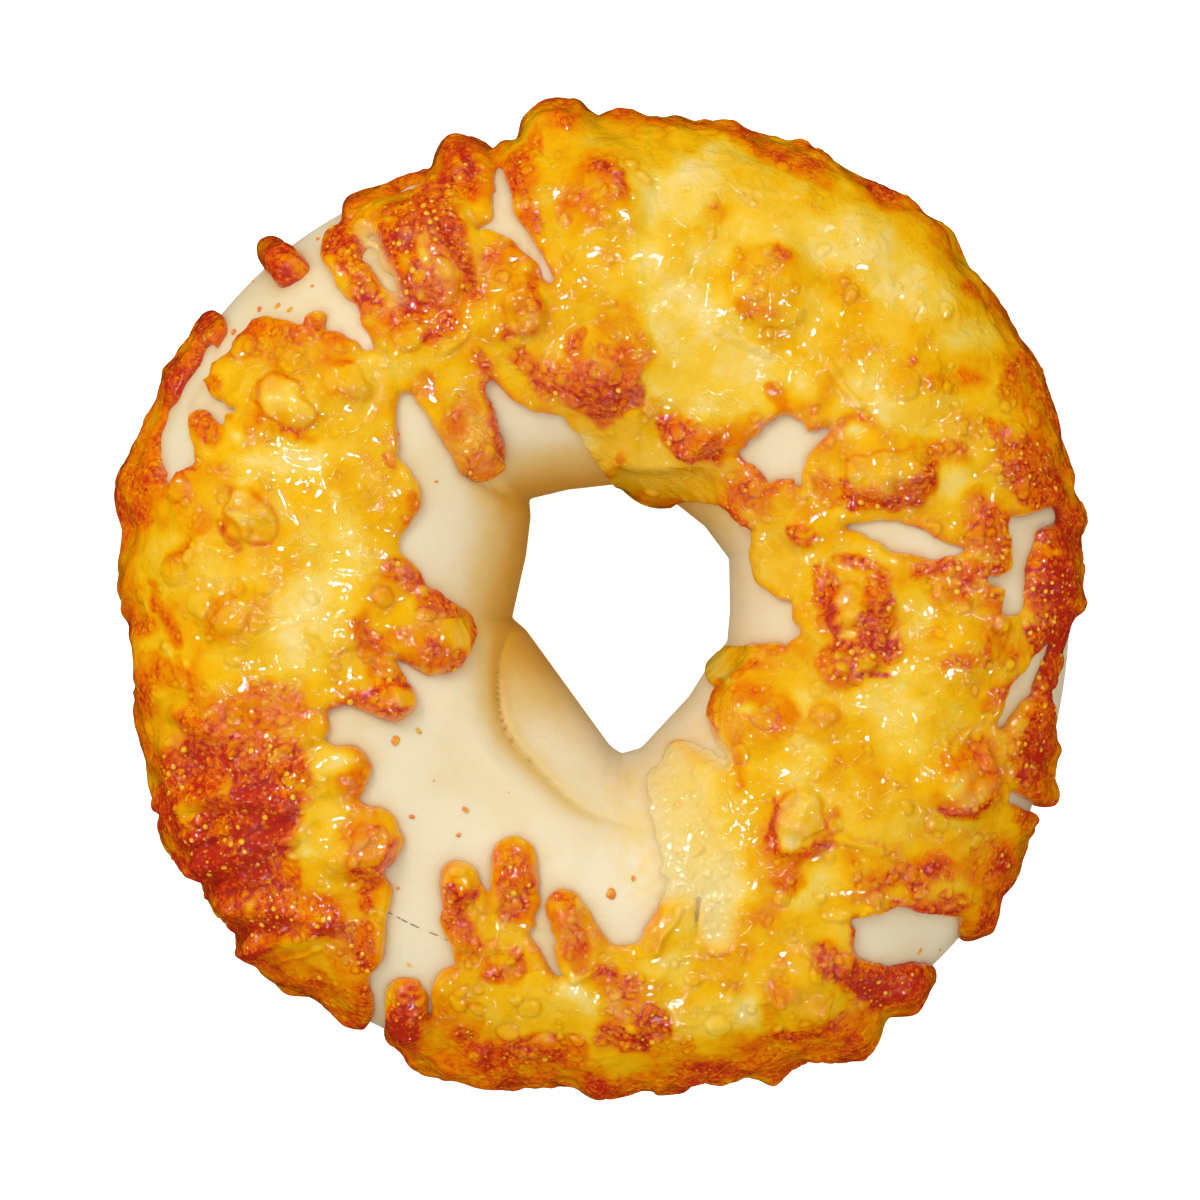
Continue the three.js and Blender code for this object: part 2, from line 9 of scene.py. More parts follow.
import bpy
import numpy as np
from mathutils.geometry import delaunay_2d_cdt
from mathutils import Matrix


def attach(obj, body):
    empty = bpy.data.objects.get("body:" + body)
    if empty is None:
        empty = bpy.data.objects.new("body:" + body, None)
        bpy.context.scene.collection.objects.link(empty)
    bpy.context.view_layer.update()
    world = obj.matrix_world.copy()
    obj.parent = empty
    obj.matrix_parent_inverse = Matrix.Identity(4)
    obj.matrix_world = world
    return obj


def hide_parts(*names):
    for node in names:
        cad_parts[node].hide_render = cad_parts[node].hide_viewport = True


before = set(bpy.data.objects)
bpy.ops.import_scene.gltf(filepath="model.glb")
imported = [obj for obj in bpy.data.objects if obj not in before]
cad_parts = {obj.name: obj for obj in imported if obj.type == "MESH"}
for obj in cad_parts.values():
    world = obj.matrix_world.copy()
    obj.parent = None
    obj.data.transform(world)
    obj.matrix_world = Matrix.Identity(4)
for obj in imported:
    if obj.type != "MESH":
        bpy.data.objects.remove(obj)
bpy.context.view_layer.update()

bl_info = {
    "name": "Cheese bagel",
    "version": (1, 0, 0),
    "blender": (4, 5, 0),
    "location": "View3D > Sidebar > Bagel",
    "description": "A bagel with browned melted cheese, its crumbs and a plain stage",
    "category": "Object",
}

MM = 0.001
TURN = 2 * math.pi
FAR = 6.0  # how far from the cheese's bars distances are worked out
ROW = math.sqrt(0.75)  # the distance between the rows of a lattice of equal triangles with sides of 1

# ---- The ring of dough, in millimetres ----

RING_CENTRE = (2.2, -1.3)
EQUATOR_HEIGHT = 16.0
CROWN_HEIGHTS = [34.6, 35.2, 35.4, 34.8, 34.6, 35.6, 36.4, 36.2, 34.2, 33.6, 34.4, 34.8]
SAG = 1.6  # how far the round underside would reach below the surface it rests on, where it is flattened
SECTION_POWER = 2.15  # of the section, 2 being an ellipse
RIM_RADII = [
    48.1, 49.7, 51.6, 52.4, 51.8, 51.2, 52.9, 53.5, 52.0, 52.2, 52.2, 50.8, 49.9, 50.5, 50.3, 48.5,
]
HOLE_EDGE = [
    (13.9, -1.1), (13.8, 4.4), (11.2, 7.9), (8, 10.4), (4.4, 11.2), (1.9, 12.4), (-3.4, 11.8), (-7.6, 10.8),
    (-7.4, 9), (-7.9, 4.8), (-9.4, -1.9), (-7.9, -3.2), (-3.4, -9.4), (1.1, -15.6), (2.3, -16.4),
    (4.4, -15.8), (9.5, -10.3), (12.1, -6.2), (13.6, -4.4),
]

# Creases where one stretch of dough presses on another, as curves through points. The shoulder on the right
# rounds down over its width. The stretch on the left lies lower by the sink and rises again over the lip.
CREASES = [
    {"through": [(-8, -0.6), (-10.7, -6), (-10.3, -13.4), (-6, -18.7), (-1, -22.8), (6, -24.6)],
     "depth": 3.2, "width": 3.4, "lip": 0.9, "sink": 1.8},
    {"through": [(-7, 10.8), (-10.5, 11.2), (-15.5, 14.2)],
     "depth": 2.0, "width": 2.6, "lip": 2.0, "sink": 0.0},
    {"through": [(2.3, -15.6), (3.4, -20.5)], "depth": 1.0, "width": 1.8, "lip": 1.8, "sink": 0.0},
]

# ---- The cheese: tapered bars seen from above, x, y and radius at one end, then at the other ----

WEST_LOBES = [
    (-41.3, 28.9, 1.6, -46, 21, 2.2), (-46.3, 21, 2, -50, 11, 3.1), (-50, 11, 3.1, -48.5, 2, 4.2),
    (-39.7, 23.3, 2.3, -36, 24, 3.5), (-35.3, 26.3, 3.5, -29, 25.5, 3.3),
    (-30.2, 29.6, 1.1, -30.2, 28.5, 1.1), (-27, 24.5, 2.8, -24.5, 23.5, 2.2),
    (-24.5, 22, 3.2, -24.3, 17, 2.9), (-32, 20, 7.5, -31, 5, 9.5), (-42.3, 18.6, 1.5, -40.5, 16, 2.5),
    (-41.5, 11, 3.8, -41, 5, 5), (-24.5, 11, 5.2, -27, 10, 6), (-25.5, 5, 3.4, -22, 1, 3.5),
    (-21, -2, 4.4, -17.3, -3.9, 4), (-24.5, -8.5, 3.4, -21.8, -10.7, 2.4), (-35, 0, 9, -31, -6, 6.4),
    (-43, 1, 7, -41, -14, 7.5), (-41, -14, 7.5, -38, -28, 8.5), (-30, -18.5, 3.2, -27.4, -18.4, 3.1),
    (-26.5, -26, 4, -24.9, -25.5, 3.9), (-27.5, -31.5, 5.4, -27, -36.5, 4.2),
    (-28.5, -41, 4.2, -28.2, -43.5, 3.8), (-35, -30, 8, -33, -37, 6), (-46.4, 11.6, 1, -46, 8.5, 1.3),
    (-33, -14, 2.6, -30.8, -13.8, 2), (-31, -22, 1.7, -27, -22, 1.3),
]
NORTH_WEST_LOBES = [
    (-24, 24.8, 1.6, -20, 23.6, 1.8), (-26.8, 36.8, 2.9, -25.3, 34.2, 2.6),
    (-25.3, 41, 2.3, -21.5, 43.8, 2.2), (-24, 33, 2.6, -21.5, 28.5, 2.9), (-18, 40, 5.6, -17.5, 31, 5.2),
    (-14.5, 46.5, 3.4, -14, 42, 3), (-4.5, 49, 4.2, -1, 48, 4.2), (-10, 47, 1.5, -7, 45.5, 3),
    (-6.5, 44.5, 3.2, -2, 41, 4.8), (-4.5, 38, 2.8, 0, 34, 4.5), (-19, 27, 3.5, -13, 27, 3.7),
    (-16.5, 24, 4, -12.6, 15.3, 2.7), (-12, 34, 5, -10.5, 31, 5.2), (-6.5, 25, 4.8, 0, 25, 6),
    (-5, 30, 4, 0, 30, 5), (1.5, 21, 5.2, 5.5, 13.5, 3.9),
]
NORTH_EAST_LOBES = [
    (0, 42, 9.5, 15, 40, 10.5), (15, 40, 10.5, 28, 33, 12), (28, 33, 12, 37, 22, 12), (8, 30, 8, 22, 26, 8),
    (37, 22, 12, 38, 12, 12), (8, 22, 6, 14, 21, 5), (6, 14.2, 4.2, 12.5, 13.6, 3),
    (15, 12, 2.6, 17.5, 9.8, 2.3), (20, 9.5, 3.3, 20, 3.5, 3.3), (31, 9, 11, 31.5, -6, 10.5),
    (24.5, 0.5, 3.2, 27.5, -3, 4), (48.5, 8, 3.2, 48.5, 1, 3.3), (47, 0, 2.6, 46.3, -14, 2.8),
]
SOUTH_EAST_LOBES = [
    (36, -5, 9, 36.5, -18, 9.5), (17.5, -8.2, 3.5, 22, -9, 4.5), (15.5, -7, 2.3, 13.6, -7.6, 2.1),
    (16.2, -12.6, 4.5, 22, -14, 6), (46, -15, 3.3, 47.7, -20.6, 1.7), (41, -20, 5, 41, -27.5, 4.6),
    (22, -18, 9, 24, -27, 9), (9.6, -19.6, 4.4, 11.2, -27, 5), (32, -25, 8, 38, -27.5, 6.2),
    (41, -30, 3, 40.2, -34.5, 2.3),
]
SOUTH_LOBES = [
    (9, -32.4, 2.4, 7, -39, 4), (14, -30, 5.5, 15, -39, 8.5), (21, -33, 6, 22, -39, 7),
    (5, -43, 6.6, -10, -43.5, 6.4), (-3.9, -32.6, 2.1, -1.2, -38, 2.6), (-9, -27.9, 2.6, -9.4, -34, 2.7),
    (-15.1, -30, 2.2, -14, -34.5, 2.7), (-12.5, -37, 3.3, -9, -38, 3.5), (-14.3, -42, 3.5, -13, -47, 5),
    (-20.7, -42.4, 2.2, -20.2, -45.2, 2.5), (-18.7, -48.3, 2.6, -14, -49, 4), (-10, -48, 5, 10, -48, 5),
    (10, -45, 7, 26, -43.5, 6.5), (26, -43, 4.6, 33.5, -41.5, 3),
]
DROP_LOBES = [(-33.45, 35.45, 2.2, -34, 36, 1.9)]
LOBES = WEST_LOBES + NORTH_WEST_LOBES + NORTH_EAST_LOBES + SOUTH_EAST_LOBES + SOUTH_LOBES

# Windows and clefts in the sheet where the dough shows.
BARE_WINDOWS = [
    (-41.2, 26.6, 0.7, -42.2, 24.2, 0.8), (-42.2, 24.2, 0.8, -43.3, 22.6, 0.7),
    (-43.3, 22.6, 0.7, -44.7, 19.8, 1), (-44.7, 19.8, 1, -45.1, 17, 1.6), (-45.1, 17, 1.6, -45.4, 14.2, 1.1),
    (-40.8, 20.5, 0.6, -38.8, 20.1, 0.25), (-21.2, 43.4, 0.3, -18.8, 44.2, 0.45),
    (-24.5, 36.9, 0.75, -22.2, 33, 0.45), (-10.6, 42.8, 0.8, -10.3, 40.6, 1.25),
    (-10.3, 40.1, 0.8, -12.8, 39.3, 0.25), (-9.5, 40, 1.1, -5.2, 34.2, 0.35),
    (19.4, 17.5, 2.1, 16.4, 16.2, 0.9), (20.6, 17.6, 1.6, 21.2, 18.4, 0.7),
    (20.4, 16.5, 1.8, 21, 12.8, 0.55), (31, 7, 1.55, 34, 6, 1.6), (30, 7.4, 1.2, 26.6, 7.8, 0.3),
    (35, 5.7, 1.2, 38.6, 5.1, 0.3), (44.2, 7.8, 1.2, 47.8, 8.9, 0.7), (45, 6.8, 1.4, 44.4, 3.6, 0.8),
    (43.8, 2.2, 1.1, 41.3, 2, 0.35), (44.2, 3, 0.9, 43.8, -0.5, 1.2), (42.4, -13.4, 0.5, 44.6, -9.3, 1.1),
    (44.6, -9.3, 1.1, 47.6, -4.6, 0.3), (43.6, -21, 0.7, 46, -21.8, 0.5), (29.6, -36, 2.7, 31.5, -36, 2.8),
    (31.5, -36.2, 2.7, 36.4, -35.8, 2.1), (36.4, -37, 0.9, 38.4, -37.8, 0.9),
    (28.5, -34.4, 1, 27.4, -34.2, 0.5), (-6.3, -35.4, 1, -4.4, -39.4, 0.35),
    (50.6, -5.5, 1.3, 49.6, -10, 1.7), (49.6, -10, 1.7, 49, -14.5, 0.8),
    (10.5, -31.8, 0.02, 10.6, -35.4, 0.12), (20, -3, 1.2, 20.6, -3.4, 0.9),
]

# Where the sheet thins to a foamy film that lets the dough through, and where it is thin but keeps its
# colour.
FILMS = [
    (6, -19.5, 5, 8, -27, 5.4), (12, -29, 3, 12.6, -35, 1.9), (10.5, -15, 2, 13, -17, 1.5),
    (-24.5, 38, 1.1, -21, 31.5, 0.8),
]
THIN_MELT = [(-7, 16.5, 2, -1, 16.5, 2.5), (3, 13, 2, 11, 12, 2.5), (13, -7, 2.2, 15, -6, 1.5)]

# Lumps in the melt: x, y, radius and how far each stands above the sheet.
LUMPS = [
    (-32.5, 21, 4, 1.5), (-37, 9, 3.8, 1.3), (-38.5, -2, 4, 1.6), (-27, 23, 3.4, 1.2), (-19, -3.5, 4.4, 1.1),
    (-24.3, -26.3, 3.6, 1.4), (-22.5, -10.5, 3, 1), (-27.5, -18, 3.6, 1.2), (-18, 37, 6, 2),
    (-14.5, 47, 3.6, 1.6), (-9.5, 31, 4.4, 1.5), (0.5, 42.5, 5.6, 1.8), (6.5, 36.5, 3.6, 1),
    (-1, 24.5, 5.2, 1.5), (17.5, 32.5, 6.4, 1.8), (10, 17.6, 3.4, 1.1), (33.5, 22, 4, 1.2),
    (30.5, 13.5, 5.2, 2.2), (22, 7.5, 2.6, 1), (28, -1, 4, 1.8), (25, -7.5, 2.8, 1.2), (38, -5.5, 4, 1.4),
    (16.5, -12.3, 5, 1.8), (24, -13, 2.6, 0.8), (37.5, -19.5, 4.6, 2), (21, -24, 4.2, 1.4),
    (20.5, -41.5, 5.6, 1.8), (26.5, -45, 4, 1.4), (43.5, 16, 4.6, 1.4), (47, 4, 3.6, 1),
    (-13, 16.5, 2.8, 0.8), (-15, -30.5, 2.4, 0.9), (-9, -29, 2.6, 0.9), (-3.6, -33.5, 2.2, 0.9),
    (-20.5, -43.6, 3, 1.6), (-33.7, 35.4, 3.4, 1.7), (33, -41.5, 4, 1.4), (40.5, -33.5, 3, 0.5),
    (47.6, -21.8, 3, 1.8), (-4.5, 50.5, 4.6, 2.7), (2.5, 51.4, 3, 0.9), (13, 51, 3.2, 0.9),
    (34, 39.6, 5, 0.8), (50.8, 9, 2.4, 0.9), (-37, -40.5, 6, 1.4), (-14, -52, 6, 1.9), (1, -52.6, 4, 1.25),
    (19.5, -51, 3.4, 0.8), (27, -48.4, 6, 1.6), (-46.5, -27, 5, 1.6), (-51, 11.5, 4.5, 1.4),
    (-18.5, -49.5, 4, 1), (24, -12.6, 1.5, 0.5), (28.7, -7, 1.2, 0.5), (24.6, -8.3, 1, 0.5),
    (26.3, -7.7, 0.8, 0.4), (26, -5.8, 1, 0.45), (30.3, -4.5, 0.8, 0.4), (27.2, -2, 1.4, 0.6),
    (30, -0.8, 0.8, 0.4), (40.6, -34.6, 3, 0.9), (-27.5, -27.5, 2.2, 0.8), (-8, 31.4, 3, 0.8),
    (-16, 34.5, 3, 0.9),
]

# Shreds that kept their edges in the melt, the thin ones being wrinkles: bars, with how far each stands above
# the sheet, how brown its outline is (browning, with painted shade at its foot) and how creamy its top (paler
# cheese, with a painted sheen).
SHREDS = [
    (-34.3, 21.6, 1.6, -32.2, 20, 2.1, 0.6, 1, 0.45), (-38, 9.8, 1.6, -36.2, 8, 2.1, 0.6, 1, 0.75),
    (20.4, -24.8, 1.9, 21.6, -22.4, 1.9, 0.8, 1, 0.8), (29.6, 13.4, 2.9, 31.6, 13, 2.8, 0.8, 0.8, 0.2),
    (26.8, -0.6, 2.1, 28.2, -5.4, 2.5, 0.7, 0.9, 0), (9, 18, 1.9, 12, 17.4, 1.5, 0.8, 0.4, 0),
    (-8.4, 31.6, 1.8, -8, 30.4, 1.8, 0.6, 0.3, 0.1), (24, -12.6, 1.3, 24.1, -12.6, 1.3, 0.45, 0.5, 0.2),
    (-24.3, -25.6, 2.1, -24.1, -26.8, 2.1, 0.6, 0.5, 0.1), (36.6, 0.4, 1.5, 37.4, 0.3, 1.4, 0.5, 0.5, 0),
    (37.6, -19.4, 2.9, 38.2, -18.4, 2.6, 0.7, 0.5, 0.3), (-18.4, 36.2, 3, -16.6, 33.4, 2.6, 0.8, 0.4, 0.3),
    (20.4, -40.6, 3.2, 21.4, -41.8, 2.8, 0.6, 0.2, 0), (17, 33.6, 3, 19.2, 30.6, 2.6, 0.4, 0.1, 0.1),
    (-21.6, -10.4, 1.4, -20.9, -10.8, 1.4, 0.5, 0.5, 0), (-14.9, -30, 1.3, -14.6, -31, 1.2, 0.4, 0.4, 0),
    (40.6, -4.4, 1.3, 41.6, -3.4, 1.2, 0.4, 0.3, 0), (1.6, 24.8, 2.6, -1.6, 24, 2.2, 0.6, 0.2, 0),
    (-26.9, 23.2, 1.6, -26, 22.4, 1.5, 0.5, 0.4, 0.2), (-11.4, -37, 1.2, -9.6, -37.4, 1.2, 0.4, 0.5, 0),
    (-29, -2.6, 2, -27.6, -4.4, 1.8, 0.4, 0.2, 0.1), (-38.8, -2.4, 1.6, -37.4, -0.8, 1.5, 0.5, 0.3, 0.1),
    (-43, -21.5, 0.62, -33, -17.5, 0.62, 0.6, 0.55, 0), (-42, -25, 0.62, -31, -21.3, 0.62, 0.7, 0.55, 0),
    (-40.5, -30.5, 0.62, -35, -29, 0.62, 0.6, 0.55, 0), (-44, -17, 0.52, -40, -12.5, 0.52, 0.5, 0.55, 0),
    (-36.5, -35.4, 0.62, -33, -34.3, 0.72, 0.7, 0.55, 0), (-38.8, -16, 0.52, -34.5, -12, 0.52, 0.5, 0.55, 0),
    (9, -49.8, 0.62, 21, -48.9, 0.62, 0.6, 0.55, 0), (6, -51.2, 0.62, 15, -50.4, 0.62, 0.5, 0.55, 0),
    (-16.5, 26.4, 0.62, -14, 28.6, 0.52, 0.6, 0.55, 0), (25, -25.3, 0.57, 29.6, -26.4, 0.52, 0.6, 0.55, 0),
    (36.4, -16.4, 0.52, 40.2, -12.6, 0.47, 0.5, 0.55, 0), (-3, -39.6, 0.47, 1, -39.4, 0.52, 0.6, 0.55, 0),
    (-3.6, 48.4, 0.52, -1.8, 50.4, 0.52, 0.5, 0.55, 0), (6, -36.8, 0.52, 8.4, -32.6, 0.47, 0.5, 0.55, 0),
    (-13, -36.9, 0.52, -9.6, -36.4, 0.52, 0.4, 0.55, 0),
    (-45.6, -20, 0.6, -42.6, -25.6, 0.5, 0.5, 0.6, 0), (-43.8, -26.6, 0.5, -38, -31.8, 0.6, 0.6, 0.6, 0),
    (-36, -24.6, 0.5, -32.4, -26.8, 0.5, 0.5, 0.5, 0), (-41.2, -13.4, 0.5, -37.6, -10.6, 0.5, 0.4, 0.4, 0),
    (-34.6, -37.4, 0.6, -29.6, -36.2, 0.6, 0.5, 0.4, 0), (-12, -46.8, 0.5, -4.6, -47.6, 0.6, 0.4, 0.4, 0),
    (22.6, -48, 0.6, 30.4, -45, 0.5, 0.5, 0.4, 0), (24, -33.4, 0.5, 29, -32.6, 0.6, 0.5, 0.4, 0),
    (13, 28.6, 0.5, 17.6, 26.6, 0.5, 0.4, 0.3, 0), (24.6, 24.6, 0.5, 27, 20.6, 0.5, 0.4, 0.3, 0),
    (-43, 4.4, 0.5, -38.6, 5.8, 0.5, 0.4, 0.3, 0), (-45.4, -5, 0.5, -43.4, -9, 0.5, 0.5, 0.4, 0),
]

# Wide folds where the sheet has run together: bars, and the height of each ridge.
FOLDS = [
    (-45, -15, 2, -41, -27, 2.4, 1.3), (-41, -20, 2.2, -33, -21, 1.8, 1.1),
    (-40, -27, 2.4, -32, -24.5, 1.8, 1.2), (-37, -31.5, 2, -28, -33.5, 1.8, 1),
    (-38, -36.5, 1.8, -30, -34.8, 1.6, 0.9), (-44, -12, 2, -39, -14, 1.8, 0.8),
]

# ---- How brown the cheese is: bars and discs painted one over the other, each list to its own level ----

# Some bars are painted shade rather than browning, and some pale ones are partly painted highlight; these are
# marked where they stand.
YELLOW_MELT = [
    (-50, 4, 1.5, -50, 3.5, 1.2), (-24, 24.5, 1.5, -21, 24, 1.5), (-28.5, -16.5, 2.2, -28.5, -15.8, 1.8),
    (-29, -23, 2.5, -31, -25.5, 2), (-30, -9, 2, -34, -7, 2.5), (-40, 2, 3, -41, 6, 2),
    (3, 49, 3, -2, 48.5, 2.5), (13, 43.5, 3, 20, 43, 2.5), (6.5, 36.5, 2, 6, 35.5, 2),
    (22, 33, 2, 24, 24, 2.2), (30, 32, 3, 40, 28, 3), (36, 18, 2.5, 33, 19, 2.5), (20, 6, 3, 20, 2, 3),
    (22, -9.5, 2.5, 28, -11, 2), (33, -1.5, 2, 33.5, -9, 2.5), (35, -13, 3, 30, -19, 2.5),
    (18, -18.5, 2.5, 25, -22, 1.5), (28, -24, 1.5, 38, -24, 1.5), (10, -43.5, 3, 15, -41, 2.5),
    (8.5, -37, 2.5, 3, -38.5, 1.5), (-10, -42, 2.5, -5, -42, 2), (-46.8, -25, 1.6, -47.5, -19, 1.4),
    (6, 14, 3.4, -5, 16.5, 2.5), (17, 22.5, 2.5, 21, 23.5, 1.5), (-17, 25.5, 2, -15, 22, 1.6),
    (-32, 3, 7, -30, -2, 6), (-45, 6, 2, -48, 6, 1.5), (45, 27, 1.2, 43, 29, 1.5), (26, 9.3, 1, 24, 8, 1),
    (14, -6.5, 2, 15, -6, 1.5), (8.4, -31.3, 1.2, 8.2, -35, 2), (7, -37, 1.6, 6, -38.5, 1),
]
PALE_MELT = [
    (-28, 6, 3, -29, 1, 3.2), (-32, -5, 2.8, -31, -3, 2.5), (-30, 15, 1.8, -38, 14, 1),
    (-33, -1, 2, -31.5, 1, 2), (7, 42, 3.6, 11, 43.5, 3.4), (12, 46.5, 1.6, 15, 46.5, 1),
    (9, 29, 5, 15, 25, 4.6), (7, 32, 3, 4, 36, 1.4), (10, 22.5, 2.4, 5.5, 23.5, 1),
    (16, 38.6, 2, 28, 37.6, 3), (30, 35, 3, 34, 31, 2.4), (11, 36.5, 2, 13, 38, 2),
    (28, 21.5, 2.8, 30, 20, 2), (40, 28, 1.6, 38, 27.5, 1.6), (22, 22.5, 1.2, 20.5, 24.5, 1),
    (31, -10, 2.6, 32, -15, 2.2), (20.5, -17.5, 2.4, 22, -16.5, 2), (24, -29.5, 1.6, 21.5, -31.5, 1.5),
    (10, -21, 4.6, 11.5, -28, 4.8), (12, -34, 2.2, 14, -30, 1.5), (8, -39, 1.6, 5, -39, 0.8),
    (15.3, -43.3, 1.2, 16, -41, 0.8), (-3, -40.5, 1.2, -1, -42.5, 1), (-7.5, 17, 1.2, -2, 17, 1.3),
    (37, 12.5, 1.6, 39, 12.5, 0.8), (12.5, -7, 1.6, 15, -10, 0.6), (35, -5, 0.6, 34, -2, 1),
    (22.5, -12, 0.5, 22, -10.7, 1), (-24, -39.6, 0.4, -23.8, -41, 0.3),
]
GOLDEN_LUMPS = [
    (-37, 9, 2.6, -35.5, 7, 2), (-38.5, -2, 2.6, -37, -1, 2.2), (-27, 23, 2.4, -26, 22.4, 2),
    (17.2, 34, 3.4, 18.8, 29.6, 2.8), (27, 31, 1.2, 27.6, 32, 0.8), (27.5, 26, 1.2, 27, 26.5, 0.8),
    (33.5, 28, 1.6, 32.5, 25.5, 1.2), (23.3, 42.2, 2, 23.5, 43.5, 1.6), (24.3, -13, 2, 24.3, -12.8, 1.9),
    (-22, 1, 2.4, -19, -3, 3), (38, -4.5, 2.2, 36.5, -4, 1.6), (28.5, 16.5, 3, 33, 14.5, 2.4),
    (20.5, -40.8, 3.4, 21, -40, 3), (12, -39.6, 1.3, 13.6, -39.9, 1.2), (25, -18, 1.2, 29, -19.5, 2),
    (-4, 50.6, 3, -6.5, 50, 2), (32, -27, 1.8, 40, -25.5, 2), (11.4, 40.6, 1, 13, 40.4, 0.8),
    (37.5, -19.5, 2.6, 38, -18.5, 2), (-33, -38, 2.4, -30.5, -37, 1.6), (42.5, -4, 1.6, 41, -3, 1.2),
    (-12.5, 29, 1.5, -10, 34, 2.5),
]
ORANGE = [
    (-40, 26, 1.6, -36, 28, 2), (-36, 27.5, 2, -28, 27.8, 1.8), (-28, 26.2, 1.4, -26.5, 25.4, 0.9),
    (-47.5, 18, 1.6, -48.5, 11, 2.4), (-49.5, 1.5, 1.6, -49, -2, 1.5), (-44.3, 11, 1.5, -42, 8, 1.8),
    (-34, 17.7, 0.5, -30.2, 17.2, 0.5), (-35.4, 22.5, 0.4, -35.2, 19, 0.5),
    (-21, 10.5, 1.2, -20.5, 8.5, 0.9), (-44.6, 4.6, 0.6, -42, 6, 0.4), (-42, -8, 1.6, -46, -6.5, 2),
    (-40.5, -3, 0.7, -38.5, 0, 0.4), (-36, -10.5, 2.6, -33, -12, 2), (-24, -5.5, 2, -20, -5.6, 2.6),
    (-25.5, -3, 1.2, -25, -1.5, 0.6), (-24.8, -24, 2.6, -24.2, -27, 2.8), (-26, -20, 1.2, -27, -18.6, 1.4),
    (-26.5, -32, 2.6, -26, -38, 2.4), (-35.5, -40.5, 1.4, -29, -42.5, 2), (-25.5, 42, 1.4, -22.5, 43.6, 1),
    (-23.5, 29.5, 1.7, -22, 28, 1.4), (-10, 36.5, 2.4, -12, 32, 1.5), (-8.2, 33, 1.4, -8, 29.8, 1.2),
    (-16, 18.4, 1.2, -14, 21, 1), (-19, 22.5, 1.3, -18.6, 23.6, 1), (-13, 14, 1.8, -12, 17, 1.6),
    (-7.5, 45.5, 1.8, -8, 41, 1.4), (0, 43, 3.2, -1.5, 41.5, 3), (3.5, 26.8, 2.4, 1, 30.5, 2),
    (14.5, 18.4, 1, 17, 19.2, 0.8), (14.5, 12.6, 1.5, 17.4, 11.6, 1.6), (14.6, 48.3, 1.2, 24, 44.8, 1.6),
    (25, 45, 1.3, 33.5, 42, 1.7), (33.5, 41.5, 1.5, 38.5, 37.5, 1.7), (39, 33, 1.3, 41.6, 32, 1.5),
    (44, 23.5, 2.6, 46, 17.5, 3), (34.6, 22.6, 1, 38.6, 22.6, 1.4), (18.6, 36.6, 0.4, 19.6, 35.4, 0.5),
    (15, 33.6, 0.4, 15.6, 30.5, 0.5), (15.6, 30.3, 0.5, 18.4, 30.2, 0.5), (19.4, 21, 0.7, 18.4, 22.6, 0.6),
    (24, 13.4, 1.1, 25.5, 11, 1), (26, 18.8, 0.8, 29, 19, 0.6), (33.6, 16.6, 1, 37.6, 15.2, 1.2),
    (40, 10.5, 1.6, 40, 7, 1.6), (2.6, 15.6, 1, 0, 13, 0.8), (5, 10.9, 0.7, 9, 10.8, 0.6),
    (15.2, -12.6, 2.6, 18.6, -12.4, 2.6), (18, -5.6, 0.8, 20, -5.4, 0.5), (36, 1.6, 1.5, 39, 0.4, 1.5),
    (42.6, -5.5, 1.6, 41.6, -1.6, 1), (40.4, -16, 1.3, 41.4, -21, 1.2), (15.6, -17, 0.5, 15.2, -20.6, 0.5),
    (18.8, -26.6, 1, 20, -29.4, 1.6), (24.5, -24.6, 0.7, 24.8, -22.6, 0.5),
    (17.6, -33, 1.5, 18.4, -34.6, 0.9), (27, -30.5, 1.4, 29, -28.6, 1.2), (39, -28, 1.8, 41.6, -26, 1.6),
    (18.4, -39.6, 0.9, 17.6, -43.6, 0.9), (22, -47, 1.8, 28, -42.6, 1.8), (8, -47.2, 2, 20, -47, 2),
    (2, -43, 2, 1.6, -40.6, 1.2), (-14.6, -43.6, 2.4, -16, -48, 2), (-12, -50.4, 1.6, -6, -50.6, 1.4),
    (-9.4, -38.6, 1.6, -13.6, -36.5, 1.6), (-3.6, -33.4, 1.8, -2.4, -37.4, 1.6),
    (-19.3, -49, 1, -20.4, -47, 1), (4, -51.5, 1.4, 9, -50.5, 1.2), (28, -34.6, 0.8, 30.5, -32.6, 0.5),
    (-34, 35, 2.6, -33.2, 35.8, 2.6), (-41, -11, 2.2, -36.5, -13.5, 1.6),
]
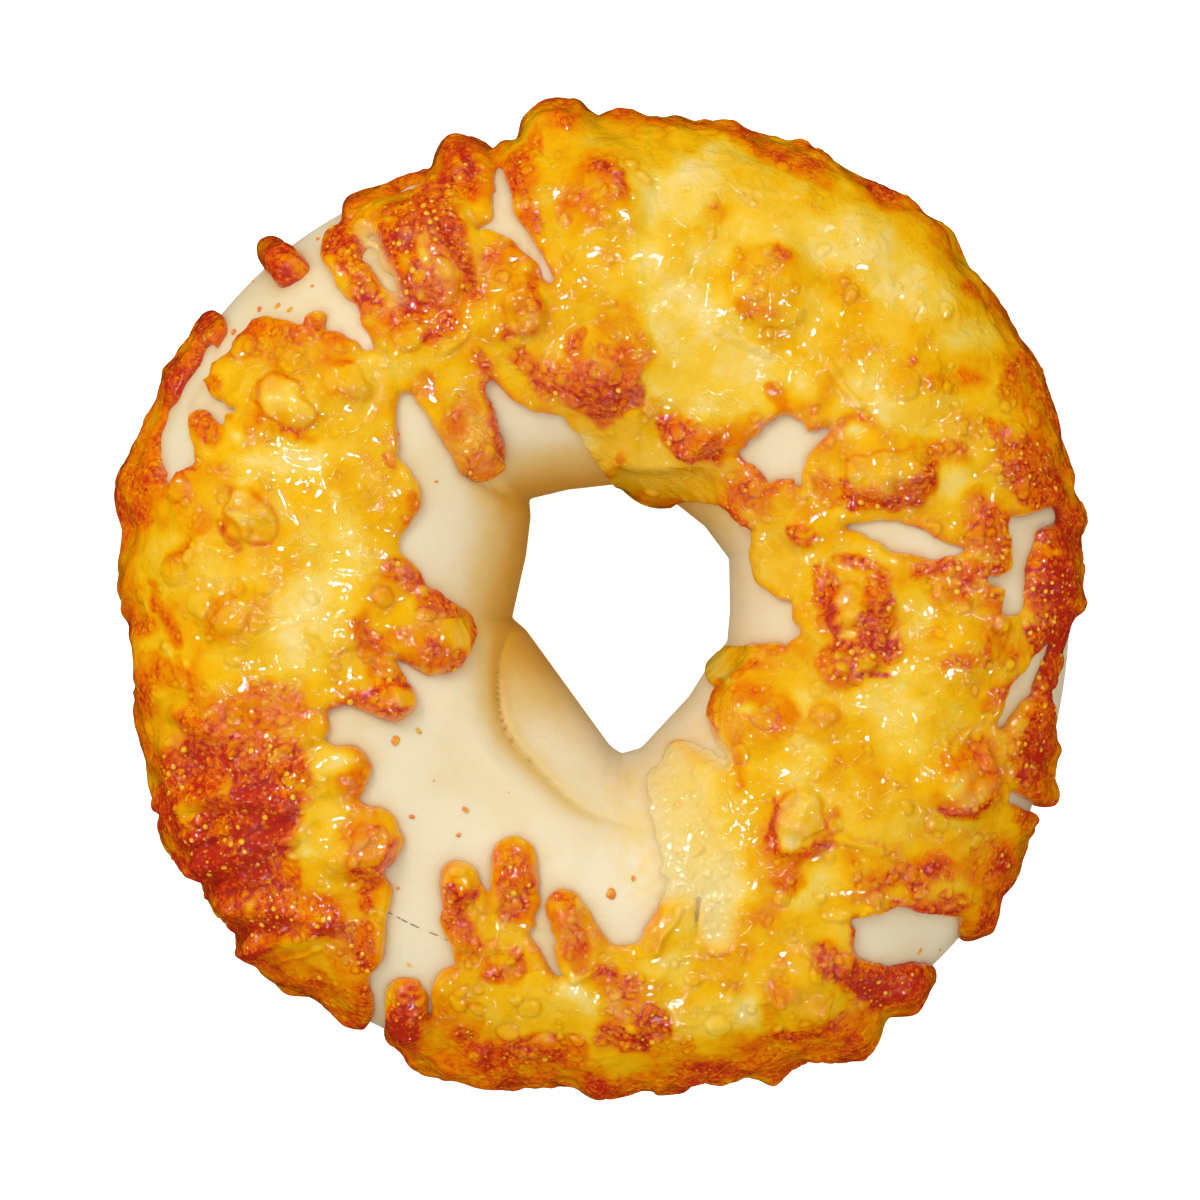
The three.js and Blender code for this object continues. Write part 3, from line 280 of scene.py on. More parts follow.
DEEP_ORANGE = [
    (-41.6, 28.6, 1.1, -45.8, 21.5, 1.1), (-30.4, 28.6, 1, -28, 27.6, 0.8), (-37, 28.6, 0.5, -31.8, 28, 0.5),
    (-41, 22.8, 0.9, -40, 22.2, 0.7), (-42.4, 18.6, 1, -40.6, 17.6, 1.4), (-39.6, 19.2, 0.5, -38.6, 19, 0.3),
    (-43, 14, 1, -44.6, 12.4, 0.8), (-50, 10.6, 1.4, -50.4, 7.6, 1.2), (-48.6, 8.6, 0.7, -47.6, 8, 0.5),
    (-39.3, 8, 0.4, -38, 5, 0.5), (-20.2, 11, 0.5, -20, 9.6, 0.5), (-22.6, 15.1, 0.5, -21.8, 14.2, 0.5),
    (-46.4, 1.6, 0.5, -43.8, -4.2, 0.6), (-47.2, -2.6, 0.9, -47.2, -2.2, 0.8),
    (-49.2, -7, 0.7, -48.5, -13, 0.6), (-46.6, -8.6, 0.7, -47.1, -12, 0.6), (-22.6, 3.4, 1.2, -20.4, 2, 1),
    (-18.6, 0, 1.4, -16.4, -1.2, 1.1), (-18.8, -5.4, 0.9, -15.8, -6.6, 1), (-14.3, -3, 0.4, -14.5, -5, 0.5),
    (-24, -8, 1.2, -21, -7.6, 1.2), (-27.6, -11.8, 0.8, -23, -11.4, 1), (-42.6, -12.6, 1.6, -38, -15.4, 1.6),
    (-43, -18, 3, -36.5, -17.5, 3.2), (-41, -22.2, 2.2, -38, -23, 1.8), (-32.4, -15.6, 1.6, -31, -18.6, 1.2),
    (-43, -27, 1.6, -34.5, -29.5, 3.2), (-38, -32, 3, -30.5, -32.6, 2.4),
    (-25.6, -29, 1.3, -24.4, -29.2, 1.3), (-25.4, -34, 1.1, -24.8, -37.6, 1),
    (-25.6, -41, 1.2, -25.6, -43.6, 1), (-29.6, -39.6, 1.2, -28.6, -41, 1), (-27, 39.8, 0.9, -27.6, 37.4, 1),
    (-26.4, 36, 1.6, -24.4, 32, 1.6), (-22.6, 45.4, 0.7, -20.6, 46, 0.5), (-21.6, 29.4, 1, -20.4, 28.6, 0.8),
    (-18.4, 39, 4, -17.2, 32.4, 3.8), (-14.6, 47.6, 2.2, -14.2, 43.5, 2.2), (-9, 45.6, 1, -6.4, 46.6, 0.6),
    (-8.6, 44, 0.7, -8.2, 42.6, 0.5), (-7.5, 40.4, 0.8, -7, 39.2, 0.7), (-12.2, 26, 0.7, -11.4, 21, 0.6),
    (-11, 19.6, 0.9, -10.5, 14.6, 0.6), (1, 23.4, 3.6, -4.4, 23.6, 2), (-8.4, 26, 1, -6, 23.6, 1.2),
    (-2, 28.2, 0.7, -3.4, 25.6, 0.7), (2, 43.6, 1, -0.6, 44.8, 0.6), (-2.4, 51, 0.6, -1.4, 50.8, 0.5),
    (8.4, 18.4, 1.6, 12, 17.2, 1.5), (14, 11.4, 0.9, 16.4, 12.6, 0.9), (22, 7.4, 1.2, 22.6, 6.4, 0.9),
    (10.6, 50.5, 0.5, 14, 50.4, 0.5), (17, 49.4, 0.9, 23.4, 46.4, 0.9), (18, 46.9, 0.6, 22.4, 45.2, 0.6),
    (28, 43.6, 0.8, 32.8, 43.4, 0.9), (35.2, 40.4, 0.9, 38, 38, 0.8), (40, 35.6, 0.9, 42, 32.8, 0.8),
    (43.6, 24.6, 0.9, 41.6, 22, 0.8), (37.8, 23.6, 0.6, 38.4, 23.2, 0.5), (49.7, 18, 0.6, 49.9, 14.6, 0.7),
    (28, 10.6, 1.4, 34.4, 11.6, 1.3), (35, 12, 0.8, 34.6, 15.6, 0.9), (43.6, 14.6, 2.4, 46.4, 11.6, 2.2),
    (40.6, 18.4, 0.5, 43, 16, 0.6), (41.6, 9, 1.4, 42, 4.6, 1.4), (33.6, 3.2, 0.7, 40, 3.4, 1),
    (38.3, 3, 0.6, 38, 0.8, 0.6), (26, 4.2, 0.7, 29.6, 3.6, 0.9), (24.6, 3, 0.9, 25, -2.6, 1.2),
    (29.6, 2, 1.3, 30.4, -4.6, 2), (27.6, -4.6, 2.4, 26, -7.4, 2), (36.4, -6.8, 0.4, 39.6, -6.4, 0.6),
    (39.8, -6, 0.5, 40.2, -4.2, 0.4), (40.6, 0.6, 0.9, 42.4, -0.6, 0.6), (48, 8, 2, 48.4, 0, 2.4),
    (48.6, -2, 2.2, 47, -16, 2.3), (45, -16, 2.4, 47.4, -21, 1.8), (42.6, -9.4, 1.2, 41, -11.4, 0.8),
    (13.4, -9.4, 0.6, 12.6, -14.6, 0.7), (15.6, -8.8, 0.4, 17.4, -7.2, 0.5), (41, -18, 0.6, 40, -21, 0.6),
    # The first bar on this line is painted shade, a crescent on the side of the lump at (37.5, -19.5) turned
    # from the light; the second and the next line's first are painted shade on the sides of the shred at (21,
    # -24).
    (35.4, -21.4, 0.4, 38.4, -22.4, 0.6), (19, -21.4, 0.4, 18.3, -26, 0.8),
    (20.6, -27.4, 0.7, 24.2, -25.4, 0.7), (29.4, -29.6, 1.2, 36, -28, 1.4),
    (31.6, -32.2, 0.9, 36.8, -31.6, 1.1), (41.8, -27.4, 1.2, 42.4, -31, 1),
    (44.6, -22.8, 0.9, 45.4, -25.6, 0.7), (40.4, -32.8, 1.2, 40, -36.6, 1),
    (27, -33.6, 0.5, 27.2, -36.4, 0.7), (24, -37.6, 1.6, 27.6, -39.6, 1.6), (29, -41, 2, 35, -39.6, 1.8),
    (31, -43.6, 1.4, 26, -46.8, 2), (18, -45, 0.7, 25, -43.8, 0.8), (21.6, -49.2, 0.8, 27, -48.4, 1),
    (10.6, -48.5, 0.7, 15, -49, 0.6), (3, -40.4, 0.7, 2.6, -42, 0.8), (0.6, -45.6, 1.2, 6, -44.6, 1.2),
    (-1, -50.6, 1, 1.4, -50.6, 0.7), (-9.5, -47.4, 1.6, -3, -47, 1.6), (-14.8, -45.6, 1, -11.6, -48.4, 1),
    (-17.4, -50.6, 0.8, -15.6, -50.8, 0.6), (-6.2, -51.6, 0.6, -5.4, -51.4, 0.4),
    (-12, -39.6, 0.6, -10, -38.6, 0.6), (-9.4, -37, 0.4, -8.2, -38.6, 0.5),
    (-15.8, -31.6, 1.4, -15, -34.6, 1.5), (-9.1, -28, 2, -9, -31.8, 2.1), (-4.4, -31.4, 0.7, -3, -32, 0.7),
    (-2, -35.4, 0.7, -1.6, -36.8, 0.7), (-20.4, -42.6, 1.8, -20.2, -45.4, 1.8),
    (-20, -47, 0.8, -19.2, -46.4, 0.6), (-34.2, 35, 2, -33.2, 36, 2), (-15.2, 29.4, 0.9, -18, 27.6, 0.8),
    (-10, 28.6, 0.5, -7, 28.6, 0.5), (-7, 33.4, 0.6, -6.6, 31, 0.6), (32.4, 25.4, 0.4, 32.6, 24.8, 0.3),
]
RED_BROWN = [
    (-43, 28, 0.7, -44.6, 25.4, 0.5), (-43.4, 14, 0.5, -44.6, 12.6, 0.4), (-50.8, 11, 0.6, -50.9, 7, 0.6),
    (-46.6, 0.4, 0.4, -46.1, -0.6, 0.4), (-17.8, 1, 0.6, -16.9, 0, 0.5), (-19.8, 2.6, 0.4, -19.4, 2, 0.3),
    (-17, -6.9, 0.6, -15.4, -6.6, 0.5), (-18.8, -4.4, 0.3, -18.6, -5.4, 0.3),
    (-26.4, -11, 0.6, -23.4, -9.4, 0.6), (-22.4, -8.6, 0.5, -20.6, -9.2, 0.4),
    (-22.2, -11.8, 0.5, -20.6, -11.6, 0.4), (-42.8, -14.4, 0.5, -41.6, -15.6, 0.5),
    (-46, -16.4, 0.7, -45.2, -21, 0.9), (-42, -18.4, 1, -40.6, -18, 1), (-39.8, -15.6, 0.5, -36, -19.6, 1.3),
    (-35.4, -16.4, 1.2, -34, -14.6, 0.7), (-31.4, -17.2, 0.5, -33.4, -19.8, 0.8),
    (-44, -20.6, 1, -44.6, -23, 0.9), (-38.6, -21.6, 1.2, -31.6, -20.8, 0.7),
    (-33, -22.6, 1.5, -41, -26.6, 1.9), (-38.4, -28.4, 2.8, -42.4, -29.4, 1.8),
    (-36, -30.6, 1.2, -33, -30.6, 1.4), (-42, -32.2, 1.4, -33.4, -33.2, 1.6),
    (-33, -33, 1.3, -27.4, -33.6, 1), (-34.4, -28.6, 0.8, -32, -29.4, 0.9),
    (-38.4, -35, 0.9, -36.4, -34.6, 0.8), (-37.6, -36.5, 0.5, -34, -35.9, 0.4),
    (-25.2, -30.8, 0.5, -24.8, -31.8, 0.4), (-22, -25.4, 0.35, -22.5, -27.6, 0.4),
    (-22.5, -27.6, 0.4, -26, -28.2, 0.4), (-28.6, -44.7, 0.7, -26.4, -44.9, 0.5),
    (-25.2, -36.8, 0.4, -24.4, -38.2, 0.5), (-28.4, 36.6, 0.9, -26.2, 37, 0.9),
    (-27.4, 34.8, 0.6, -25, 33.4, 0.5), (-24.6, 32.4, 0.6, -24, 31.4, 0.5), (-21.4, 40, 1, -16.4, 40.6, 1.4),
    (-20.8, 37.4, 1.2, -19.6, 35.8, 1), (-15.6, 39, 1, -14.4, 34, 0.7), (-20.2, 34, 0.7, -19.8, 30.4, 0.6),
    (-17.6, 38.6, 1, -15.4, 39.6, 1), (-23, 38, 0.5, -20.8, 32.6, 0.4), (-16.4, 36.6, 0.6, -17.6, 35.4, 0.5),
    (-18.4, 30.6, 0.5, -16.6, 31.6, 0.5), (-16, 47.8, 0.7, -15.6, 47.4, 0.6),
    (-13.8, 48, 0.9, -13.4, 43.4, 0.9), (-16, 43.2, 0.8, -16, 41.6, 0.6), (-11.2, 18.4, 0.5, -10.6, 15, 0.4),
    (-18.2, 27.9, 0.5, -15.4, 29.6, 0.5), (-8.9, 44.8, 0.3, -8.3, 43.6, 0.3),
    (-0.4, 44.6, 0.5, 0.6, 44.3, 0.4), (-6.3, 23.2, 0.4, -3.4, 22, 0.5), (-2.4, 22.4, 1.2, 2.4, 22.6, 2.2),
    (0, 20.6, 1.1, 1, 21.6, 1.4), (-2.8, 27, 0.3, -1.9, 28.6, 0.3), (7.6, 17.6, 0.7, 12.8, 16, 0.8),
    (6.9, 19.4, 0.5, 8.4, 18.6, 0.5), (13.9, 10.6, 0.4, 16.6, 8.5, 0.4), (21.2, 7.7, 0.5, 21.5, 6.9, 0.4),
    (17.2, 49.4, 0.4, 19.6, 48.6, 0.4), (21, 47.4, 0.4, 22.4, 46.8, 0.4), (21, 45.9, 0.3, 22.4, 45.4, 0.3),
    (36, 39.6, 0.7, 37.4, 38.4, 0.4), (49.8, 15.8, 0.4, 49.9, 14.4, 0.4), (26.3, 12.6, 0.5, 27.6, 10.2, 0.8),
    (28, 10.3, 0.7, 34, 10.5, 0.8), (33.6, 12.6, 0.7, 34.8, 13, 0.5), (35.2, 12.4, 0.4, 34.8, 15.2, 0.4),
    (42.6, 13.6, 1, 47, 12.4, 1), (44.8, 10.6, 0.7, 47.8, 11, 0.8), (42.8, 15.4, 0.6, 43.2, 15, 0.6),
    (42, 4.6, 1, 42.6, 5.6, 0.6), (41, 3.8, 0.4, 42, 3.8, 0.5), (34.2, 3.1, 0.4, 38, 3.1, 0.5),
    (38.4, 2.6, 0.4, 37.9, 1.1, 0.3), (24.2, 3.2, 0.5, 24.4, 0.2, 0.8), (24.6, 0, 0.7, 26, -3.6, 0.6),
    (26, 4.4, 0.3, 29, 4.1, 0.3), (30, 1.6, 0.4, 30.2, -1, 0.7), (28.4, -4, 1.2, 31, -4.6, 1),
    (27, -7.9, 0.4, 30.6, -7.8, 0.4), (28.6, -1.8, 0.7, 29.4, -3, 0.6), (25.4, -4.9, 0.6, 27, -5.1, 0.4),
    (47, 4, 1.2, 46.8, -0.6, 1.2), (48.6, 8, 0.7, 48.6, 5.4, 1), (50.6, 8.4, 0.6, 50.9, 7.8, 0.4),
    (49.4, -2, 1, 47.2, -12, 1.5), (45, -3, 0.6, 46, -5.4, 0.7), (43.8, -8.3, 0.6, 42, -10, 0.5),
    (45.4, -13.4, 1.4, 44.4, -18.6, 1.4), (47.6, -15.4, 1, 47.6, -20.6, 1.3),
    (48, -21.6, 0.9, 47.6, -22, 0.7), (43.6, -22.8, 0.5, 45.4, -23, 0.5),
    # The last bar on this line is painted shade, the crescent under the lump at (37.5, -19.5); both bars on
    # the next line are painted shade on the sides of the shred at (21, -24).
    (45.7, -25.2, 0.4, 45.5, -25.8, 0.3), (36.4, -22.2, 0.3, 39.8, -21.2, 0.5),
    (18.8, -22.6, 0.3, 18.5, -24.8, 0.4), (21.4, -27, 0.4, 23.6, -25.8, 0.4),
    (32.4, -30.5, 0.6, 33.6, -30.1, 0.5), (34, -28.6, 0.6, 35.6, -28.4, 0.5),
    (32.6, -32.8, 0.7, 36.4, -32.4, 0.9), (42, -28.4, 0.9, 42.8, -28, 0.7),
    (41.8, -30.8, 0.6, 42, -30.2, 0.4), (40.4, -33, 0.9, 39.9, -35.8, 0.8),
    (26.8, -34.6, 0.3, 26.9, -35.2, 0.3), (24.2, -38.4, 1, 27.4, -39.7, 1.2),
    (29, -41.6, 1.1, 34.6, -39.2, 1.3), (32.4, -42.8, 0.9, 34, -42, 0.6), (28.4, -46.4, 1, 26.4, -47.6, 0.9),
    (18.2, -45.3, 0.3, 24.6, -44, 0.4), (22, -49.7, 0.4, 26.6, -48.6, 0.5), (5, -43.6, 0.9, 6.6, -44.6, 0.7),
    (1.4, -45.9, 0.6, 5.2, -46, 0.7), (-1, -50.6, 0.7, 1, -50.7, 0.6), (-6.4, -47, 0.7, -4.4, -47.6, 0.6),
    (-11.7, -46.8, 0.6, -11.8, -48.4, 0.4), (-14.6, -45.7, 0.5, -14, -46.6, 0.4),
    (-17.2, -50.6, 0.5, -16.2, -50.9, 0.4), (-11.8, -39.5, 0.4, -10.4, -39.4, 0.4),
    (-16.2, -31, 0.6, -15.6, -32.4, 0.8), (-15, -31.9, 0.6, -13.4, -31, 0.5),
    (-7.2, -30.2, 0.4, -8.8, -33, 0.5), (-20.3, -43, 1.8, -20.2, -45.4, 1.7), (-43, -17, 2, -36, -19, 2.4),
    (-42, -24, 2.2, -34, -25, 2), (-41, -29, 2, -33, -32, 1.8), (-20.5, 39, 1.6, -15.5, 38, 1.8),
    (-20.5, 34, 1.2, -20, 31, 0.8), (47, 3, 1.6, 47.5, -10, 1.6), (46.5, -13, 1.6, 47, -20, 1.6),
    (-21.2, -41.4, 0.5, -20, -41.2, 0.4), (-34.1, 35.2, 1.4, -33.3, 35.8, 1.4),
    (0, -39.7, 0.5, 1, -39.6, 0.4),
]
BURNT = [
    (-45.8, -19, 0.5, -45, -22.6, 0.7), (-39, -16.8, 0.4, -38, -18.2, 0.6),
    (-37.6, -19.2, 0.6, -35.6, -19.8, 0.4), (-37.4, -21.3, 0.5, -33, -20.8, 0.4),
    (-32.6, -22.4, 0.6, -36.4, -25, 1.2), (-35.4, -25.4, 1, -39.4, -26.6, 1),
    (-36.8, -27.6, 1.2, -41, -28.6, 1), (-40, -29.8, 0.5, -42, -30.4, 0.5),
    (-41.6, -32.6, 0.7, -38, -33.2, 0.8), (-36.6, -34.4, 0.4, -33.6, -33, 0.6),
    (-33.2, -32.4, 0.5, -28, -33.8, 0.5), (-33.4, -30.6, 0.3, -32.4, -31.8, 0.4),
    (-37.2, -36.5, 0.3, -34.6, -36, 0.25), (-25.2, -10.6, 0.35, -24.2, -10, 0.3),
    (-20.9, 37.3, 0.6, -19.6, 36.4, 0.5), (-20, 32.6, 0.35, -20, 30.6, 0.35),
    (-13.9, 45.6, 0.3, -13.4, 44.6, 0.3), (-0.9, 21, 0.6, 0.8, 20.8, 0.5), (9, 16.6, 0.3, 10, 16.3, 0.3),
    (26.4, 11.2, 0.35, 27.7, 10, 0.5), (30, 10.4, 0.35, 31.4, 10.5, 0.35),
    (24.5, 0.4, 0.5, 25.8, -3.2, 0.35), (30.3, -5.2, 0.5, 30.9, -4.8, 0.4), (28, -8, 0.25, 29.4, -7.8, 0.25),
    (46.9, 2.6, 0.8, 46.6, 0.4, 0.6), (47, -8, 0.6, 46.6, -10.4, 0.5), (49, -3, 0.4, 48.4, -5, 0.4),
    (43.4, -18.4, 0.6, 44, -16.6, 0.5), (46, -15, 0.6, 45, -17, 0.5), (48, -21.6, 0.5, 47.6, -20.6, 0.4),
    (40.9, -32.6, 0.4, 40.3, -33.6, 0.5), (25, -38.6, 0.6, 26.8, -39.8, 0.6), (29.2, -42, 0.4, 30, -40, 0.4),
    (33.4, -39.6, 0.6, 34, -39.4, 0.5), (28.2, -46.6, 0.5, 27, -47.4, 0.4), (2, -45.7, 0.3, 5.2, -46, 0.4),
    (-0.6, -50.6, 0.4, 0.8, -50.8, 0.3), (-20.3, -43.6, 1.4, -20.2, -45.6, 1.2),
    (-40, -26, 1.6, -35, -24, 1.4), (-41, -29, 1.4, -36, -28, 1.6), (30, -40.6, 0.9, 27, -40, 1.1),
    # The last bar on this line is painted shade, the crescent under the lump at (37.5, -19.5).
    (-34.2, 35.2, 0.5, -33.8, 35.6, 0.5), (38, -22.4, 0.2, 39.6, -21.4, 0.3),
]
LIGHT_BUBBLES = [  # paler than the cheese round them: partly less browned, partly painted highlight
    (-17.8, 36.7, 0.7), (-20.8, 34.5, 0.6), (-15.7, 34, 0.8), (-21.9, 39, 0.6), (-19.9, 40.2, 0.35),
    (-26, 34.2, 0.5), (-24.2, 29.3, 0.7), (4.1, 26.2, 0.5), (0, 26.8, 0.5), (22.5, 6.9, 0.4),
    (30.4, 11.8, 0.6), (27, -2.2, 0.5), (26, -5.8, 0.6), (28.7, -7, 0.9), (30.3, -4.5, 0.4),
    (26.3, -7.7, 0.4), (24.6, -8.3, 0.6), (29.8, -0.9, 0.35), (-42.2, -21.6, 0.8), (-38.8, -19.4, 0.6),
    (-39.4, -31.3, 0.4), (-40.8, -31.6, 0.3), (-36, -31.8, 0.6), (-21.6, -10.4, 0.7), (-42.9, 26.2, 0.4),
    (-42.2, 27.4, 0.35), (-50.2, 8, 0.6), (-13.2, -29.9, 0.4), (45.4, -5, 0.4), (49, 0, 0.4),
    (34, -39.2, 0.3), (3.4, -44, 0.7), (-4, 26.4, 0.5), (31.2, -4, 0.3), (-15.3, -29.6, 0.5),
    (44.4, -21, 0.7), (46.4, 5.2, 0.3), (48.4, -9.4, 0.3), (-14.2, 45.1, 0.3), (42, -8.6, 0.35),
]
CREAM_AND_SHEEN_TOPS = [  # paler tops: partly cheese that caught no browning, partly painted highlight
    (-31.6, 20.8, 1.5), (-33.8, 20.4, 0.9), (-37, 12.2, 0.9), (-36.9, 8.4, 0.7), (21.4, -21.6, 0.9),
    (20.2, -25.6, 0.8), (-18, 35.2, 0.7), (-45, -5.3, 0.7), (-43.3, -6.2, 0.4), (-2.6, 49.4, 0.7),
    (27, 17.9, 0.7), (36.6, -19.2, 0.7), (17.5, -12.4, 0.6), (-42, -23.8, 0.4), (-27.8, -17, 0.7),
    (-31.2, -26.6, 0.5), (-32, 34.6, 0.2), (27, -3.6, 0.45), (-28.4, 10.9, 0.6), (-37.5, 17.2, 0.6),
    (15, 33, 0.6),
]
BROWNING = [
    (0.20, YELLOW_MELT), (0.09, PALE_MELT), (0.29, GOLDEN_LUMPS), (0.38, ORANGE), (0.50, DEEP_ORANGE),
    (0.63, RED_BROWN), (0.80, BURNT), (0.28, LIGHT_BUBBLES), (0.08, CREAM_AND_SHEEN_TOPS),
]
BASE_BROWNING = 0.27
SOFT_EDGE, SOFT_SHARE = 0.6, 0.4  # a painted bar's edge is this wide, plus this share of the bar's radius
PALE_SOFTNESS, BROWN_SOFTNESS = 1.8, 1.1  # times that, for bars paler and browner than the base

# Layers of bubbles: the pitch of their places, the smallest and largest radius, the share of the places that
# holds one in pale and in brown cheese, and a seed. Then how far they stand out and, for those in the melt,
# how much less they do on the side.
MELT_BUBBLES = [
    ((3.8, 0.8, 1.8, 0.1, 0.35, 41), 0.34, 0.6), ((2.1, 0.45, 1.0, 0.05, 0.45, 42), 0.42, 0.7),
    ((1.2, 0.28, 0.55, 0.02, 0.5, 43), 0.5, 1.0),
]
FOAM_BUBBLES = [((1.5, 0.3, 0.7, 0.6, 0.6, 44), 0.8), ((0.9, 0.18, 0.4, 0.7, 0.7, 45), 0.8)]

# Where the sheet of cheese is parted into pieces of a workable size, along its creases.
PARTINGS = [
    [(-27.5, 29.5), (-22.8, 26.8), (-21.9, 23.5), (-20.6, 19.6)],
    [(6, 58), (5, 50), (5.8, 44), (4, 38), (4.6, 33), (5.4, 28), (4.8, 22), (3.6, 6)],
    [(21, -3.2), (25, -5.4), (32, -8.6), (38, -11.6), (43.4, -12.2), (45, -8.4), (50.4, -8)],
]
MELT_PIECES = {
    "melt_west": (-35, 0), "melt_north_west": (-14, 31), "melt_north_east": (20, 38), "melt_south": (24, -22),
}
DROP_PLACE = (-33.5, 35.3)

# Crumbs of cheese on the bare dough: x, y and radius.
CRUMBS = [
    (-21.7, -14.9, 0.5), (-19.3, -14, 0.3), (-14.3, -22.3, 0.35), (-20, -23, 0.25), (-15, -25, 0.25),
    (1.2, -31.3, 0.6), (-34.3, 31.3, 0.35), (-33, 30.8, 0.3), (-36.2, 30.9, 0.3), (-39, 28.5, 0.35),
    (-30, 38.5, 0.25), (-37, 34, 0.2), (34, -37.5, 0.3), (-30.6, 33.4, 0.2), (-17.6, -19.2, 0.18),
    (-9.6, -20.4, 0.18), (3.6, -29.6, 0.25), (-21.4, 17.6, 0.2), (-17.4, 12.6, 0.2), (-20.3, -38.8, 0.22),
    (-21.5, -30.6, 0.2), (36.3, -37.3, 0.22),
]

# The dry crack along the lower left, where the rolled strand was pinched shut.
SEAM_CRACK = [(-25, -32), (-22.5, -33.2), (-20, -34.5), (-16.5, -36)]

# ---- The stage ----

FLOOR_HALF, FLOOR_GAP = 6000.0, 0.05  # half the floor's side, and how far it lies under the bagel
SENSOR = 36  # the width of the camera's sensor
ROOM_LIGHT, ROOM_STRENGTH = (0.96, 0.97, 1.0, 1), 0.84  # from all round

# Soft lights: name, place and size in metres, the setting that holds the power, and tint.
SOFT_LIGHTS = [
    ("key", (-0.55, 0.6, 0.95), 0.45, "key_power", (1.0, 0.98, 0.95)),
    ("fill", (0.25, -0.2, 1.3), 1.6, "fill_power", (0.98, 0.99, 1.0)),
]

# Small lights that only show as highlights: place and size in metres, and the share of the glint power.
GLINTS = [
    ((-0.35, 0.45, 1.0), 0.13, 1.0), ((0.75, 0.35, 0.8), 0.1, 0.5), ((0.1, -0.8, 0.75), 0.1, 0.4),
    ((0.2, 0.15, 1.2), 0.07, 0.3), ((-0.7, -0.1, 1.0), 0.07, 0.3),
    ((-0.95, -0.25, 0.55), 0.07, 0.2), ((0.3, 1.05, 0.4), 0.07, 0.2), ((1.05, -0.3, 0.3), 0.07, 0.15),
    ((-0.6, -0.9, 0.3), 0.07, 0.15), ((-0.8, 0.75, 0.3), 0.07, 0.2), ((0.6, -0.9, 0.25), 0.07, 0.15),
]


# ---- Settings ----

def linear(code):
    """A colour written as six hexadecimal digits, as linear red, green and blue."""
    shares = [int(code[i:i + 2], 16) / 255 for i in (0, 2, 4)]
    return tuple(s / 12.92 if s <= 0.04045 else ((s + 0.055) / 1.055) ** 2.4 for s in shares)


def length(name, description, millimetres):
    """A setting that is a length."""
    return bpy.props.FloatProperty(
        name=name, description=description, default=millimetres * MM, min=0, precision=5,
        subtype="DISTANCE", unit="LENGTH",
    )


def colour(name, description, code):
    """A setting that is a colour."""
    return bpy.props.FloatVectorProperty(
        name=name, description=description, default=linear(code), min=0, max=1, size=3, subtype="COLOR",
    )


class DoughSettings(bpy.types.PropertyGroup):
    """Sizes and colours of the ring of dough."""

    grain: length("Grain", "Depth of the skin's fine grain", 0.12)
    skin: colour("Skin", "The pale skin on top", "EEDFBA")
    # Tan gives warmer patches of the skin and toast towards its underside, and also painted shade on the
    # walls of the hole and in the creases; amber is that painted shade where it is deepest.
    shade: colour("Tan", "Where the skin took some heat", "E4C67C")
    amber_shade: colour("Amber", "Creases and the walls of the hole", "DEA42C")
    crack: colour("Crack", "The dry seam", "94703C")


class CheeseSettings(bpy.types.PropertyGroup):
    """Sizes and colours of the melted cheese."""

    spacing: length("Spacing", "Between the points of the sheet", 0.235)
    thickness: length("Thickness", "Of the sheet away from its edge", 1.2)
    edge_thickness: length("Edge thickness", "Of the blunt edge", 0.3)
    edge_width: length("Edge width", "From the edge to the full thickness", 1.3)
    foam: colour("Foam", "The foamy film on the dough", "F3D26C")
    pale: colour("Pale", "Melt that stayed pale", "F5D987")
    yellow: colour("Yellow", "Yellow melt", "F4C83E")
    golden: colour("Golden", "Golden melt", "F2B60C")
    orange: colour("Orange", "Lightly browned", "EA9002")
    deep: colour("Deep orange", "Browned", "E87204")
    red: colour("Red brown", "Well browned", "DA5210")
    burnt: colour("Burnt", "The darkest spots", "BE2A14")


class BlisterSettings(bpy.types.PropertyGroup):
    """Sizes of the small blisters on the browned cheese."""

    smallest: length("Smallest", "Radius of the smallest blister", 0.14)
    largest: length("Largest", "Radius of the largest blister", 0.42)
    spacing: length("Spacing", "Least distance between blisters", 0.9)
    seed: bpy.props.IntProperty(name="Seed", description="Of the scatter", default=4)


class CrumbSettings(bpy.types.PropertyGroup):
    """Sizes of the crumbs on the dough."""

    unevenness: length("Unevenness", "How far a crumb departs from round", 0.12)
    seed: bpy.props.IntProperty(name="Seed", description="Of the crumbs' turns", default=9)


class StageSettings(bpy.types.PropertyGroup):
    """The floor, the camera and the light."""

    view_width: length("View width", "What the camera takes in from side to side", 128.4)
    camera_height: length("Camera height", "Above the widest part of the ring", 2500)
    key_power: bpy.props.FloatProperty(name="Key", description="Soft light from the upper left", default=5.0)
    fill_power: bpy.props.FloatProperty(name="Fill", description="Soft light from above", default=1.5)
    glint_power: bpy.props.FloatProperty(name="Glint", description="Small lights for highlights", default=4.5)
    floor: colour("Floor", "The pale floor", "F4F3F0")


# ---- Plane geometry ----

def smoothstep(value, low, high):
    """A smooth rise from 0 to 1 as the value goes from low to high."""
    rise = np.clip((value - low) / (high - low), 0, 1)
    return rise * rise * (3 - 2 * rise)


def bar_distance(x, y, bar):
    """Signed distance to a tapered bar, negative inside. A bar of three numbers is a disc."""
    x1, y1, r1, x2, y2, r2 = bar if len(bar) == 6 else bar * 2
    dx, dy = x2 - x1, y2 - y1
    along = np.clip(((x - x1) * dx + (y - y1) * dy) / max(dx * dx + dy * dy, 1e-9), 0, 1)
    return np.hypot(x - x1 - along * dx, y - y1 - along * dy) - (r1 + along * (r2 - r1))


